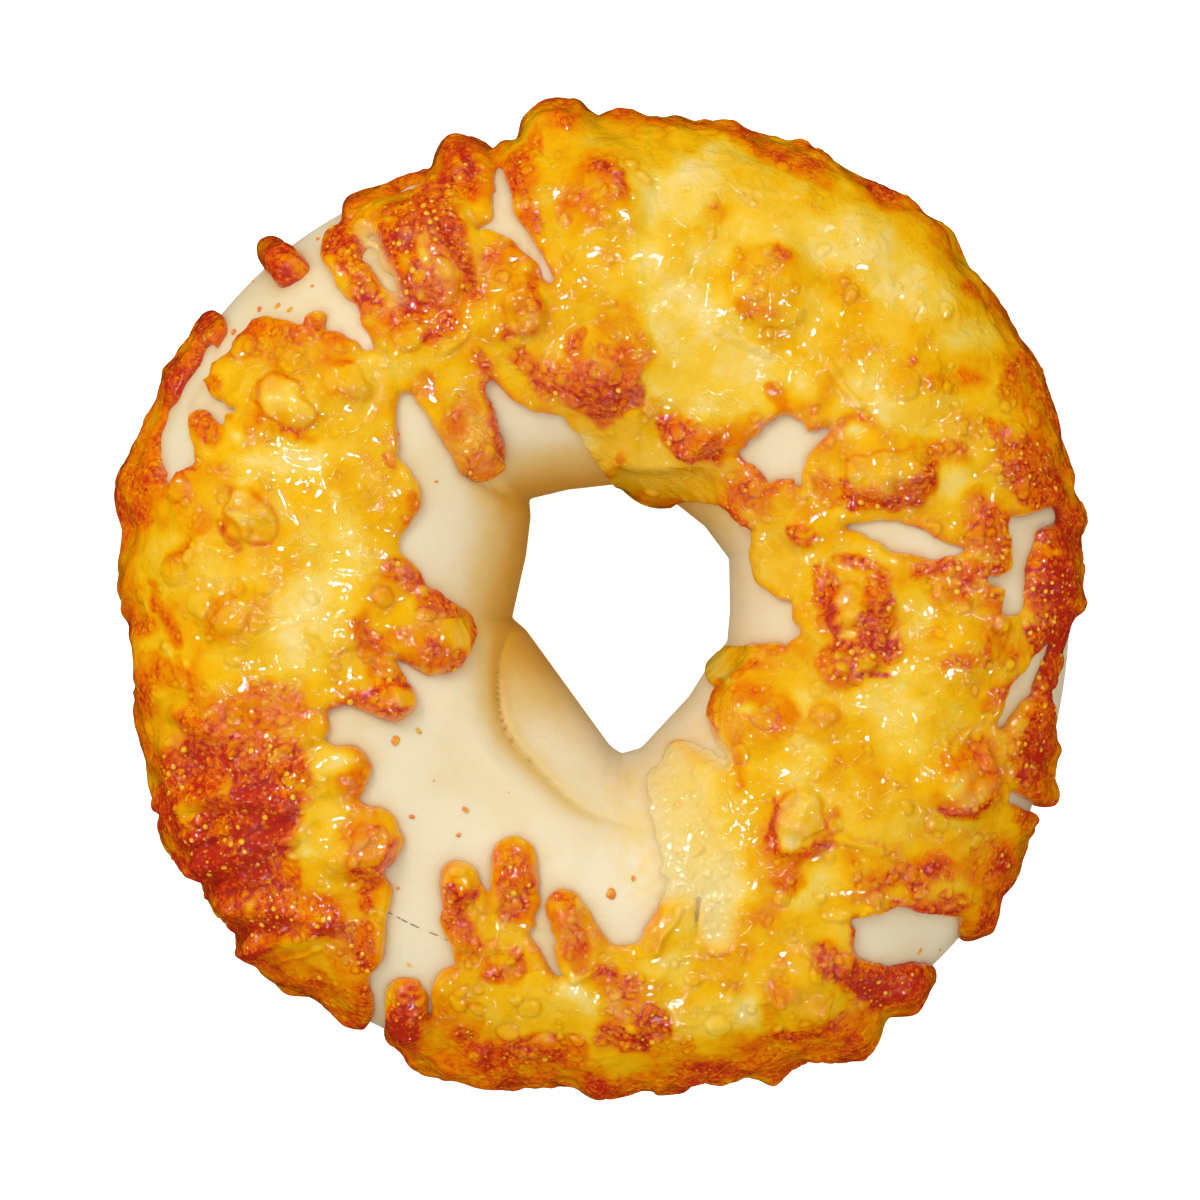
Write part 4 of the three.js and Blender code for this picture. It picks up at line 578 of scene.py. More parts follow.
def smooth_min(a, b, blend):
    """The smaller of two distances, with the corner between them rounded over a length."""
    rise = np.clip(0.5 + 0.5 * (b - a) / blend, 0, 1)
    return b + (a - b) * rise - blend * rise * (1 - rise)


def near(x, y, bar, reach):
    """The places that may be within reach of a bar."""
    far = max(bar[2::3]) + reach
    across, up = bar[0::3], bar[1::3]
    return np.flatnonzero(
        (x > min(across) - far) & (x < max(across) + far) & (y > min(up) - far) & (y < max(up) + far)
    )


def bars_distance(x, y, bars, blend):
    """Signed distance to the nearest of several bars, as far as FAR from them."""
    distance = np.full(x.shape, FAR)
    for bar in bars:
        where = near(x, y, bar, FAR)
        distance[where] = smooth_min(distance[where], bar_distance(x[where], y[where], bar), blend)
    return distance


def noise(x, y, scale, seed):
    """Smooth noise from -1 to 1 over a plane, its features about a scale apart."""
    size = 256
    grid = np.random.default_rng(seed).uniform(-1, 1, (size, size))
    u, v = x / scale, y / scale
    i, j = np.floor(u).astype(int), np.floor(v).astype(int)
    s, t = smoothstep(u - i, 0, 1), smoothstep(v - j, 0, 1)
    i, j = i % size, j % size
    i2, j2 = (i + 1) % size, (j + 1) % size
    low = grid[i, j] * (1 - s) + grid[i2, j] * s
    high = grid[i, j2] * (1 - s) + grid[i2, j2] * s
    return low * (1 - t) + high * t


def seeded_random(seed):
    """Numbers from 0 to 1, one at a call."""
    state = seed

    def draw():
        nonlocal state
        state = (state * 1664525 + 1013904223) % 4294967296
        return state / 4294967296

    return draw


def unevenness(height, pitch, count, seed):
    """A gentle uneven height over the plan: a few crossing waves of random direction and phase."""
    draw = seeded_random(seed)
    waves = []
    for i in range(count):
        angle = math.pi * (i + draw()) / count
        rate = TURN / (pitch * (0.7 + 0.6 * draw()))
        waves.append((rate * math.cos(angle), rate * math.sin(angle), TURN * draw()))
    return lambda x, y: height * sum(np.sin(a * x + b * y + c) for a, b, c in waves) / math.sqrt(count)


cheese_waves = unevenness(0.28, 9.5, 5, 11)
dough_waves = unevenness(0.3, 34, 4, 5)


def evenly(start, end, count):
    """Evenly spaced numbers from the start up to just before the end."""
    return np.linspace(start, end, count, endpoint=False)


def between(a, b, c, d, t):
    """The value a share t of the way from b to c, on the smooth curve through a, b, c and d."""
    return b + 0.5 * t * (c - a + t * (2 * a - 5 * b + 4 * c - d + t * (3 * (b - c) + d - a)))


def smooth_curve(points, steps=24):
    """A smooth curve through points, as many short straight steps."""
    p = np.array([points[0]] + list(points) + [points[-1]], float)
    curve = []
    for a, b, c, d in zip(p, p[1:], p[2:], p[3:]):
        for t in evenly(0, 1, steps):
            curve.append(between(a, b, c, d, t))
    return np.array(curve + [p[-1]])


def curve_distance(x, y, curve):
    """Distance from a curve, where along it that is (0 to 1), and whether it lies on the curve's left."""
    best = np.full(x.shape, np.inf)
    along = np.zeros(x.shape)
    left = np.zeros(x.shape, bool)
    for i, ((ax, ay), (bx, by)) in enumerate(zip(curve, curve[1:])):
        dx, dy = bx - ax, by - ay
        t = np.clip(((x - ax) * dx + (y - ay) * dy) / (dx * dx + dy * dy), 0, 1)
        distance = np.hypot(x - ax - t * dx, y - ay - t * dy)
        closer = distance < best
        best[closer] = distance[closer]
        along[closer] = (i + t[closer]) / (len(curve) - 1)
        left[closer] = (dx * (y - ay) - dy * (x - ax) > 0)[closer]
    return best, along, left


# ---- The surface of the dough ----

TABLE_STEPS = 2880
ANGLES = np.arange(TABLE_STEPS) * TURN / TABLE_STEPS
CREASE_REACH = 9.0  # how far from a crease the lower stretch of dough has risen again
CREASE_SHADE_REACH = 1.3  # over what distance painted shade darkens the dough beside a crease


def around(table, theta):
    """A value read from a table that goes evenly round the ring."""
    return np.interp(theta % TURN, ANGLES, table, period=TURN)


def evenly_round(values):
    """A table round the ring, smooth through values spaced evenly."""
    values = np.array(values)
    n = len(values)
    place = ANGLES / TURN * n
    i = np.floor(place).astype(int)
    t = place - i
    return between(*(values[(i + step) % n] for step in (-1, 0, 1, 2)), t)


def outline_table(outline, softness):
    """A closed outline's distance from the ring's centre, its corners eased over a number of steps."""
    table = np.zeros(len(ANGLES))
    c, s = np.cos(ANGLES), np.sin(ANGLES)
    corners = [(x - RING_CENTRE[0], y - RING_CENTRE[1]) for x, y in outline]
    for (ax, ay), (bx, by) in zip(corners, corners[1:] + corners[:1]):
        across_a, across_b = c * ay - s * ax, c * by - s * bx
        t = across_a / (across_a - across_b + 1e-12)
        radius = c * (ax + t * (bx - ax)) + s * (ay + t * (by - ay))
        hit = (across_a <= 0) & (across_b > 0) & (radius > 0)
        table[hit] = radius[hit]
    window = np.hanning(softness)
    wrapped = np.concatenate([table[-softness:], table, table[:softness]])
    return np.convolve(wrapped, window / window.sum(), "same")[softness:-softness]


RIM = evenly_round(RIM_RADII)
CROWN = evenly_round(CROWN_HEIGHTS)
HOLE = outline_table(HOLE_EDGE, 31)
for crease in CREASES:
    crease["curve"] = smooth_curve(crease["through"])


def crease_depth(x, y):
    """How far the creases lower the upper side of the ring, and how near each place is to one, for the
    painted shade in them.
    """
    lowered, crease_shade = np.zeros(x.shape), np.zeros(x.shape)
    for crease in CREASES:
        curve, depth, sink = crease["curve"], crease["depth"], crease["sink"]
        reach = CREASE_REACH if sink else crease["width"]
        low, high = curve.min(axis=0) - reach, curve.max(axis=0) + reach
        where = np.flatnonzero((x > low[0]) & (x < high[0]) & (y > low[1]) & (y < high[1]))
        distance, along, left = curve_distance(x[where], y[where], curve)
        fade = np.sqrt(1 - smoothstep(along, 0.25, 1))
        width = np.where(left, crease["lip"], crease["width"])
        depth = depth - np.where(left, sink, 0)
        pinch = 1 - np.sqrt(1 - np.clip(1 - distance / width, 0, 1) ** 2)
        under = np.where(left, sink * (1 - smoothstep(distance, 1, CREASE_REACH)), 0)
        lowered[where] += fade * (depth * pinch + under)
        crease_shade[where] = np.maximum(crease_shade[where], fade * np.exp(-distance / CREASE_SHADE_REACH))
    return lowered, crease_shade


def section(phi):
    """How far out and how far up a place on the ring's section is, each from -1 to 1."""
    c, s = np.cos(phi), np.sin(phi)
    return np.sign(c) * np.abs(c) ** (2 / SECTION_POWER), np.sign(s) * np.abs(s) ** (2 / SECTION_POWER)


def dough_point(theta, phi):
    """Points of the dough. Theta goes round the ring, phi round its section from outside over the top."""
    inner, outer = around(HOLE, theta), around(RIM, theta)
    across, up = section(phi)
    radius = (inner + outer) / 2 + across * (outer - inner) / 2
    x = RING_CENTRE[0] + radius * np.cos(theta)
    y = RING_CENTRE[1] + radius * np.sin(theta)
    rise = np.where(up >= 0, around(CROWN, theta) - EQUATOR_HEIGHT, EQUATOR_HEIGHT + SAG)
    z = EQUATOR_HEIGHT + rise * up
    z = z + np.where(up > 0, up * (dough_waves(x, y) - crease_depth(x, y)[0]), 0)
    return np.stack([x, y, np.maximum(z, 0)], axis=-1)


def dough_normal(theta, phi):
    """The dough's outward direction at each place, from two short steps over it."""
    step = 2e-3
    along_ring = dough_point(theta + step, phi) - dough_point(theta - step, phi)
    round_section = dough_point(theta, phi + step) - dough_point(theta, phi - step)
    normal = np.cross(along_ring, round_section)
    return normal / np.linalg.norm(normal, axis=1, keepdims=True)


def on_dough(x, y):
    """The point of the dough's upper side over each place in plan."""
    theta = np.arctan2(y - RING_CENTRE[1], x - RING_CENTRE[0])
    inner, outer = around(HOLE, theta), around(RIM, theta)
    across = (2 * np.hypot(x - RING_CENTRE[0], y - RING_CENTRE[1]) - inner - outer) / (outer - inner)
    phi = np.arccos(np.sign(across) * np.clip(np.abs(across), 0, 1) ** (SECTION_POWER / 2))
    return dough_point(theta, phi)


DRAPE = 0.6  # below the equator, the share of a drop in height that counts as going further out


def flattened(theta, phi, point):
    """The dough laid flat: as in plan above the equator, and further out or in the lower it is below."""
    below = EQUATOR_HEIGHT - point[:, 2]
    drape = DRAPE * below
    radius = np.where(np.cos(phi) > 0, around(RIM, theta) + drape, around(HOLE, theta) - drape)
    under = (np.sin(phi) < 0) & (below > 0)
    x = np.where(under, RING_CENTRE[0] + radius * np.cos(theta), point[:, 0])
    y = np.where(under, RING_CENTRE[1] + radius * np.sin(theta), point[:, 1])
    return x, y


# ---- The sheet of cheese ----

MEAN_RADIUS = 32.0  # of the ring
MEAN_WIDTH, MEAN_HEIGHT = 19.8, 18.8  # of its section, from the middle to the side and to the top
SECTION_SPAN = (-38, 206.2)  # the angles round the section that the cheese may reach, in degrees

# Over what length bars of one kind round into each other, and the sheet into the drop.
LOBE_BLEND, DROP_BLEND, WINDOW_BLEND, FILM_BLEND, SHEET_BLEND = 0.8, 0.5, 0.4, 1.0, 0.05

SPARSE_STEP = 8  # the sheet's lower side keeps one point of the lattice in this many, each way
SUNK = 0.3  # how deep the sheet's lower side lies in the dough
THINNEST = 0.2  # the least thickness of the sheet away from its edge


def unrolling():
    """Angles round the section, the radius of each when the ring is opened out flat, and the stretch there.

    Opening it out this way keeps angles between lines on the ring as they are.
    """
    phi = np.radians(np.arange(*SECTION_SPAN, 0.2))
    across, up = section(phi)
    radius = MEAN_RADIUS + MEAN_WIDTH * across
    steps = np.hypot(np.diff(radius), np.diff(MEAN_HEIGHT * up)) * 2 / (radius[1:] + radius[:-1])
    travelled = np.concatenate([[0], np.cumsum(steps)])
    opened = MEAN_RADIUS * np.exp(np.interp(math.pi / 2, phi, travelled) - travelled)
    return phi, opened, radius / opened


SECTION_PHI, OPENED_RADIUS, STRETCH = unrolling()


def on_ring(u, v):
    """The two angles of a place on the opened-out plane, and how much longer the real surface is there."""
    opened = np.hypot(u, v)
    phi = np.interp(opened, OPENED_RADIUS[::-1], SECTION_PHI[::-1])
    stretch = np.interp(opened, OPENED_RADIUS[::-1], STRETCH[::-1])
    return np.arctan2(v, u), phi, stretch


def cheese_depth(x, y):
    """How far inside the cheese a place is, negative on bare dough, with an uneven edge."""
    x = x + 0.3 * noise(x, y, 1.7, 21)
    y = y + 0.3 * noise(x, y, 1.7, 22)
    sheet, drop = bars_distance(x, y, LOBES, LOBE_BLEND), bars_distance(x, y, DROP_LOBES, DROP_BLEND)
    melt = smooth_min(sheet, drop, SHEET_BLEND)
    inside = np.minimum(-melt, bars_distance(x, y, BARE_WINDOWS, WINDOW_BLEND))
    return inside + (0.12 + 0.3 * film_share(x, y, FILMS)) * noise(x, y, 0.9, 23)


def browning(x, y):
    """How brown the cheese is, from 0 (pale) to 1 (burnt)."""
    shift_x = 0.45 * noise(x, y, 3.4, 31) + 0.35 * noise(x, y, 1.2, 33)
    shift_y = 0.45 * noise(x, y, 3.4, 32) + 0.35 * noise(x, y, 1.2, 34)
    x, y = x + shift_x, y + shift_y
    brown = np.full(x.shape, BASE_BROWNING)
    for level, bars in BROWNING:
        softness = PALE_SOFTNESS if level < BASE_BROWNING else BROWN_SOFTNESS
        for bar in bars:
            soft = (SOFT_EDGE + SOFT_SHARE * bar[2]) * softness
            where = near(x, y, bar, soft)
            cover = smoothstep(-bar_distance(x[where], y[where], bar), -soft / 2, soft / 2)
            brown[where] += cover * (level - brown[where])
    return brown + 0.05 * noise(x, y, 4.3, 37) + 0.05 * noise(x, y, 1.9, 38)


def film_share(x, y, bars):
    """Where the cheese is only a film, from 0 to 1."""
    return smoothstep(-bars_distance(x, y, bars, FILM_BLEND), -0.6, 1.6)


def lump_height(x, y):
    """How far the lumps and the wide folds raise the sheet."""
    height = np.zeros(x.shape)
    for lx, ly, radius, rise in LUMPS:
        where = near(x, y, (lx, ly, radius), 0)
        inside = np.clip(1 - ((x[where] - lx) ** 2 + (y[where] - ly) ** 2) / radius ** 2, 0, 1)
        height[where] += rise * inside ** 1.3
    for *bar, rise in FOLDS:
        where = near(x, y, bar, 0)
        height[where] += rise * smoothstep(-bar_distance(x[where], y[where], bar), 0, (bar[2] + bar[5]) / 2)
    return height


def shreds(x, y):
    """How far the shreds raise the sheet, how near their outlines each place is, and how creamy it is; the
    outlines carry painted shade and the tops a painted sheen.
    """
    height, outline, cream = (np.zeros(x.shape) for _ in range(3))
    shift_x, shift_y = (0.45 * noise(x, y, 2.6, seed) for seed in (48, 49))
    for *bar, rise, browned, cream_and_sheen_share in SHREDS:
        where = near(x, y, bar, 1.5)
        distance = bar_distance(x[where] + shift_x[where], y[where] + shift_y[where], bar)
        distance += (0.2 + 0.22 * bar[2]) * noise(x[where], y[where], 1.5, 36)
        facets = 0.75 + 0.8 * noise(x[where], y[where], 1.5, 42)
        height[where] = np.maximum(height[where], rise * smoothstep(-distance, -0.2, 0.5) * facets)
        outline[where] = np.maximum(outline[where], browned * np.exp(-((distance - 0.1) / 0.26) ** 2))
        cream[where] = np.maximum(cream[where], cream_and_sheen_share * smoothstep(-distance, 0.1, 0.6))
    return height, outline, cream


class Domes:
    """Bubbles on the opened-out plane, one to a cell at most, more of them where the cheese is brown."""

    NONE = 0.001  # the radius in a cell without a bubble
    FOOT_WIDTH = 0.14  # of the ring of painted shade round a bubble's foot

    def __init__(self, cell, smallest, largest, pale_share, brown_share, seed):
        self.cell = cell
        self.offset = int(OPENED_RADIUS[0] / cell) + 2
        count = 2 * self.offset + 1
        draw = np.random.default_rng(seed)
        index = np.arange(count) - self.offset
        self.u = (index[:, None] + draw.uniform(0.1, 0.9, (count, count))) * cell
        self.v = (index[None, :] + draw.uniform(0.1, 0.9, (count, count))) * cell
        self.radius = smallest + (largest - smallest) * draw.uniform(0, 1, (count, count)) ** 2
        theta, phi, _ = on_ring(self.u.ravel(), self.v.ravel())
        x, y = flattened(theta, phi, dough_point(theta, phi))
        brown = smoothstep(browning(x, y), 0.2, 0.55).reshape(count, count)
        chosen = draw.uniform(0, 1, (count, count)) < pale_share + (brown_share - pale_share) * brown
        self.radius = np.where(chosen, self.radius, self.NONE)
        self.tone = draw.uniform(-1, 1, (count, count))

    def at(self, u, v, stretch):
        """The height of the domes, how far up one each place is, how near its foot, and its tone."""
        height, crest, foot, tone = (np.zeros(u.shape) for _ in range(4))
        i = np.floor(u / self.cell).astype(int) + self.offset
        j = np.floor(v / self.cell).astype(int) + self.offset
        for di in (-1, 0, 1):
            for dj in (-1, 0, 1):
                a = np.clip(i + di, 0, 2 * self.offset)
                b = np.clip(j + dj, 0, 2 * self.offset)
                radius = self.radius[a, b]
                distance = np.hypot(u - self.u[a, b], v - self.v[a, b]) * stretch
                dome = np.sqrt(np.clip(1 - (distance / radius) ** 2, 0, 1)) * radius
                higher = dome > height
                height[higher] = dome[higher]
                crest[higher] = (dome / radius)[higher]
                tone[higher] = self.tone[a, b][higher]
                near_foot = np.exp(-((distance - radius) / self.FOOT_WIDTH) ** 2) * (radius > self.NONE)
                foot = np.maximum(foot, near_foot)
        return height, crest, foot, tone


class Trim:
    """A triangular lattice over the opened-out ring, cut along the edge of the cheese."""

    def __init__(self, spacing):
        reach = OPENED_RADIUS[0]
        columns = int(2 * reach / spacing) + 2
        rows = int(2 * reach / (spacing * ROW)) + 2
        j, i = np.meshgrid(np.arange(rows), np.arange(columns), indexing="ij")
        self.u = ((i - columns / 2 + 0.5 * (j % 2)) * spacing).ravel()
        self.v = ((j - rows / 2) * spacing * ROW).ravel()
        self.sparse = ((i % SPARSE_STEP == 0) & (j % SPARSE_STEP == 0)).ravel()
        opened = np.hypot(self.u, self.v)
        usable = (opened < reach) & (opened > OPENED_RADIUS[-1])
        self.depth = np.full(self.u.shape, -FAR)
        theta, phi, _ = on_ring(self.u[usable], self.v[usable])
        self.depth[usable] = cheese_depth(*flattened(theta, phi, dough_point(theta, phi)))
        triangles = self.lattice_triangles(rows, columns)
        triangles = triangles[(self.depth[triangles] > 0).any(axis=1) & usable[triangles].all(axis=1)]
        self.snap(triangles)
        self.triangles = self.clip(triangles)
        self.drop_pinches()
        self.compact()

    @staticmethod
    def lattice_triangles(rows, columns):
        j, i = np.meshgrid(np.arange(rows - 1), np.arange(columns - 1), indexing="ij")
        here, beside = (j * columns + i).ravel(), (j * columns + i + 1).ravel()
        above, across = here + columns, beside + columns
        odd = (j % 2 == 1).ravel()
        pairs = [
            ((here, across, above), (here, beside, above)), ((here, beside, across), (beside, across, above))]
        return np.concatenate([np.where(odd[:, None], np.stack(a, 1), np.stack(b, 1)) for a, b in pairs])

    def snap(self, triangles, reach=0.35):
        """Move each node that is close to the cheese's edge onto it."""
        sides = ((0, 1), (1, 2), (2, 0), (1, 0), (2, 1), (0, 2))
        pairs = np.concatenate([triangles[:, [a, b]] for a, b in sides])
        pairs = pairs[(self.depth[pairs[:, 0]] > 0) != (self.depth[pairs[:, 1]] > 0)]
        here, there = np.abs(self.depth[pairs]).T
        how_far = here / (here + there)
        order = np.argsort(-how_far)
        pairs, how_far = pairs[order], how_far[order]
        nearest = np.full(self.u.shape, -1)
        nearest[pairs[:, 0]] = np.arange(len(pairs))
        nodes = np.flatnonzero(nearest >= 0)
        nodes = nodes[how_far[nearest[nodes]] < reach]
        target, step = pairs[nearest[nodes], 1], how_far[nearest[nodes]]
        new_u = self.u[nodes] + step * (self.u[target] - self.u[nodes])
        new_v = self.v[nodes] + step * (self.v[target] - self.v[nodes])
        self.u[nodes], self.v[nodes], self.depth[nodes], self.sparse[nodes] = new_u, new_v, 0, False

    def clip(self, triangles):
        """The triangles inside the cheese, and the inner parts of those that its edge crosses."""
        depth = self.depth[triangles]
        triangles = triangles[(depth > 0).any(axis=1)]
        crossed = (self.depth[triangles] < 0).any(axis=1)
        extra_u, extra_v, cuts, parts = [], [], {}, []

        def cut(inside, outside):
            key = (inside, outside)
            if key not in cuts:
                t = self.depth[inside] / (self.depth[inside] - self.depth[outside])
                cuts[key] = len(self.u) + len(extra_u)
                extra_u.append(self.u[inside] + t * (self.u[outside] - self.u[inside]))
                extra_v.append(self.v[inside] + t * (self.v[outside] - self.v[inside]))
            return cuts[key]

        for corners in triangles[crossed].tolist():
            outline = []
            for here, following in zip(corners, corners[1:] + corners[:1]):
                if self.depth[here] >= 0:
                    outline.append(here)
                if self.depth[here] > 0 > self.depth[following]:
                    outline.append(cut(here, following))
                if self.depth[here] < 0 < self.depth[following]:
                    outline.append(cut(following, here))
            parts += [(outline[0], outline[k], outline[k + 1]) for k in range(1, len(outline) - 1)]
        self.u = np.concatenate([self.u, extra_u])
        self.v = np.concatenate([self.v, extra_v])
        self.sparse = np.concatenate([self.sparse, np.zeros(len(extra_u), bool)])
        return np.concatenate([triangles[~crossed], np.array(parts)])

    def drop_pinches(self):
        """Drop the triangles at a corner where two stretches of edge meet in one point."""
        while True:
            leaving = open_edges(self.triangles)[:, 0]
            nodes, counts = np.unique(leaving, return_counts=True)
            pinched = nodes[counts > 1]
            if not len(pinched):
                return
            self.triangles = self.triangles[~np.isin(self.triangles, pinched).any(axis=1)]

    def compact(self):
        used, places = np.unique(self.triangles, return_inverse=True)
        self.triangles = places.reshape(self.triangles.shape)
        self.u, self.v, self.sparse = self.u[used], self.v[used], self.sparse[used]


def edges_of(triangles):
    """All first edges of the triangles, then all second and all third ones, in the triangles' directions."""
    return np.concatenate([triangles[:, [0, 1]], triangles[:, [1, 2]], triangles[:, [2, 0]]]).astype(np.int64)


def face_normals(points, triangles):
    """Each triangle's normal, twice as long as its area."""
    a, b, c = points[triangles.T]
    return np.cross(b - a, c - a)


def open_edges(triangles):
    """The edges that only one triangle has, each in that triangle's direction."""
    edges = edges_of(triangles)
    size = edges.max() + 1
    forward, backward = edges[:, 0] * size + edges[:, 1], edges[:, 1] * size + edges[:, 0]
    return edges[~np.isin(forward, backward)]


def crosses(a, b, line):
    """Whether each step from a to b crosses a line of straight stretches."""
    crossed = np.zeros(len(a), bool)
    for p, q in zip(np.array(line, float), np.array(line[1:], float)):
        def side(start, end, point):
            return (end[..., 0] - start[..., 0]) * (point[..., 1] - start[..., 1]) \
                - (end[..., 1] - start[..., 1]) * (point[..., 0] - start[..., 0])
        crossed |= (side(p, q, a) * side(p, q, b) < 0) & (side(a, b, p) * side(a, b, q) < 0)
    return crossed


def joined_groups(triangles, centres, partings):
    """A number for each triangle, the same for those joined edge to edge without crossing a parting."""
    edges = edges_of(triangles)
    owner = np.tile(np.arange(len(triangles)), 3)
    key = edges.min(axis=1) * (edges.max() + 1) + edges.max(axis=1)
    order = np.argsort(key, kind="stable")
    same = key[order][1:] == key[order][:-1]
    first, second = owner[order][:-1][same], owner[order][1:][same]
    kept = np.ones(len(first), bool)
    for line in partings:
        kept &= ~crosses(centres[first], centres[second], line)
    first, second = first[kept], second[kept]
    group = np.arange(len(triangles))
    while True:
        low = np.minimum(group[first], group[second])
        lowest = group.copy()
        np.minimum.at(lowest, group[first], low)
        np.minimum.at(lowest, group[second], low)
        lowest = lowest[lowest][group]
        lowest = lowest[lowest]
        if (lowest == group).all():
            return group
        group = lowest


def underside(u, v, border, inner):
    """Triangles over the area inside directed border edges, with some nodes inside it, by node numbers."""
    nodes = np.concatenate([np.unique(border), inner])
    place = {node: i for i, node in enumerate(nodes.tolist())}
    points = [(u[node], v[node]) for node in nodes.tolist()]
    edges = [(place[a], place[b]) for a, b in border.tolist()]
    _, _, faces, origins, _, _ = delaunay_2d_cdt(points, edges, [], 1, 1e-7, True)
    number = [origin[0] for origin in origins]
    faces = [tuple(number[corner] for corner in face) for face in faces]
    directed = set(edges)
    beside = {}
    for i, (a, b, c) in enumerate(faces):
        for side in ((a, b), (b, c), (c, a)):
            beside[side] = i
    inside = {beside[side] for side in directed if side in beside}
    fresh = list(inside)
    while fresh:
        a, b, c = faces[fresh.pop()]
        for side in ((a, b), (b, c), (c, a)):
            other = beside.get(side[::-1])
            if side in directed or other is None or other in inside:
                continue
            inside.add(other)
            fresh.append(other)
    return nodes[np.array([faces[i] for i in sorted(inside)])]


# ---- Meshes ----

def mesh_object(name, points, triangles, values, material):
    """A piece from points in millimetres, triangles and a value or more for each point, with smooth faces."""
    mesh = bpy.data.meshes.new(name)
    mesh.vertices.add(len(points))
    mesh.vertices.foreach_set("co", (np.asarray(points) * MM).astype(np.float32).ravel())
    corners = triangles.shape[1]
    mesh.loops.add(triangles.size)
    mesh.loops.foreach_set("vertex_index", triangles.astype(np.int32).ravel())
    mesh.polygons.add(len(triangles))
    mesh.polygons.foreach_set("loop_start", np.arange(0, triangles.size, corners, dtype=np.int32))
    mesh.polygons.foreach_set("use_smooth", np.ones(len(triangles), bool))
    mesh.update(calc_edges=True)
    for label, numbers in values.items():
        layer = mesh.attributes.new(label, "FLOAT", "POINT")
        layer.data.foreach_set("value", np.asarray(numbers, np.float32))
    mesh.validate()
    mesh.materials.append(material)
    piece = bpy.data.objects.new(name, mesh)
    bpy.context.scene.collection.objects.link(piece)
    return piece


def claim(piece, slot, *nodes):
    """Fix a piece to the bagel and hide the nodes that it stands in for. The slot is not used."""
    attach(piece, "root")
    if nodes:
        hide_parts(*nodes)


# ---- Node trees ----

class Wire:
    """A socket's value in a node tree. Arithmetic on it adds Math nodes."""

    def __init__(self, graph, socket):
        self.graph, self.socket = graph, socket

    def __add__(self, other):
        return self.graph.math("ADD", self, other)

    def __sub__(self, other):
        return self.graph.math("SUBTRACT", self, other)

    def __rsub__(self, other):
        return self.graph.math("SUBTRACT", other, self)

    def __mul__(self, other):
        return self.graph.math("MULTIPLY", self, other)

    __radd__, __rmul__ = __add__, __mul__

    def other(self, name):
        """Another output of the same node."""
        return Wire(self.graph, self.socket.node.outputs[name])


class Graph:
    """A shader or geometry node tree that is filled node by node."""

    def __init__(self, tree):
        self.tree = tree

    def node(self, kind, settings=None, inputs=None, output=0):
        node = self.tree.nodes.new(kind)
        for name, value in (settings or {}).items():
            if name == "stops":
                while len(node.color_ramp.elements) < len(value):
                    node.color_ramp.elements.new(0.5)
                for stop, (place, shade) in zip(node.color_ramp.elements, value):
                    stop.position, stop.color = place, (*shade, 1)
            else:
                setattr(node, name, value)
        for place, value in (inputs or {}).items():
            self.feed(node.inputs[place], value)
        return Wire(self, node.outputs[output])

    def feed(self, socket, value):
        if isinstance(value, Wire):
            self.tree.links.new(value.socket, socket)
        else:
            socket.default_value = value

    def math(self, operation, first, second=0.0):
        return self.node("ShaderNodeMath", {"operation": operation}, {0: first, 1: second})

    def mix(self, factor, first, second):
        first, second = ((*c, 1) if isinstance(c, tuple) else c for c in (first, second))
        return self.node("ShaderNodeMix", {"data_type": "RGBA"}, {0: factor, 6: first, 7: second}, 2)

    def ramp(self, factor, low, high):
        """A smooth rise from 0 to 1 as the factor goes from low to high."""
        settings = {"interpolation_type": "SMOOTHSTEP"}
        return self.node("ShaderNodeMapRange", settings, {"Value": factor, "From Min": low, "From Max": high})

    def attribute(self, name):
        """A value stored at the points, for a shader."""
        return self.node("ShaderNodeAttribute", {"attribute_name": name}, output="Fac")

    def stored(self, name):
        """A value stored at the points, for Geometry Nodes."""
        return self.node(
            "GeometryNodeInputNamedAttribute", {"data_type": "FLOAT"}, {"Name": name}, "Attribute")

    def place(self):
        return self.node("ShaderNodeTexCoord", output="Object")

    def noise(self, scale, detail=2.0, roughness=0.5):
        """Noise with features of a scale in millimetres."""
        return self.node("ShaderNodeTexNoise", None, {
            "Vector": self.place(), "Scale": 1 / (scale * MM), "Detail": detail, "Roughness": roughness})

    def lines(self, scale, detail, width):
        """Thin wandering lines, where noise of a scale in millimetres passes its middle value."""
        return self.ramp(self.math("ABSOLUTE", self.noise(scale, detail) - 0.5), width, 0.0)

    def dots(self, scale):
        """The distance from the nearest of points scattered about a scale in millimetres apart."""
        inputs = {"Vector": self.place(), "Scale": 1 / (scale * MM)}
        return self.node("ShaderNodeTexVoronoi", None, inputs, "Distance")


# Tints that belong to the finishes alone.
OILY_DOUGH, EDGE_BAND_DOUGH, FLECK = linear("F0CF74"), linear("DDA650"), linear("B98A4E")
# The tint of the shreds' tops is partly paler cheese and partly painted sheen.
DRIED_FOAM, CREAM_AND_SHEEN_TINT, FLOOR_GRAIN = linear("ECD69E"), linear("EFBD74"), (0.7, 0.7, 0.68)


def new_material(name, constants):
    """A material with some of its shader's sockets set: the material, its graph and the shader's sockets."""
    material = bpy.data.materials.new(name)
    material.use_nodes = True
    surface = material.node_tree.nodes["Principled BSDF"].inputs
    for label, value in constants.items():
        surface[label].default_value = value
    return material, Graph(material.node_tree), surface


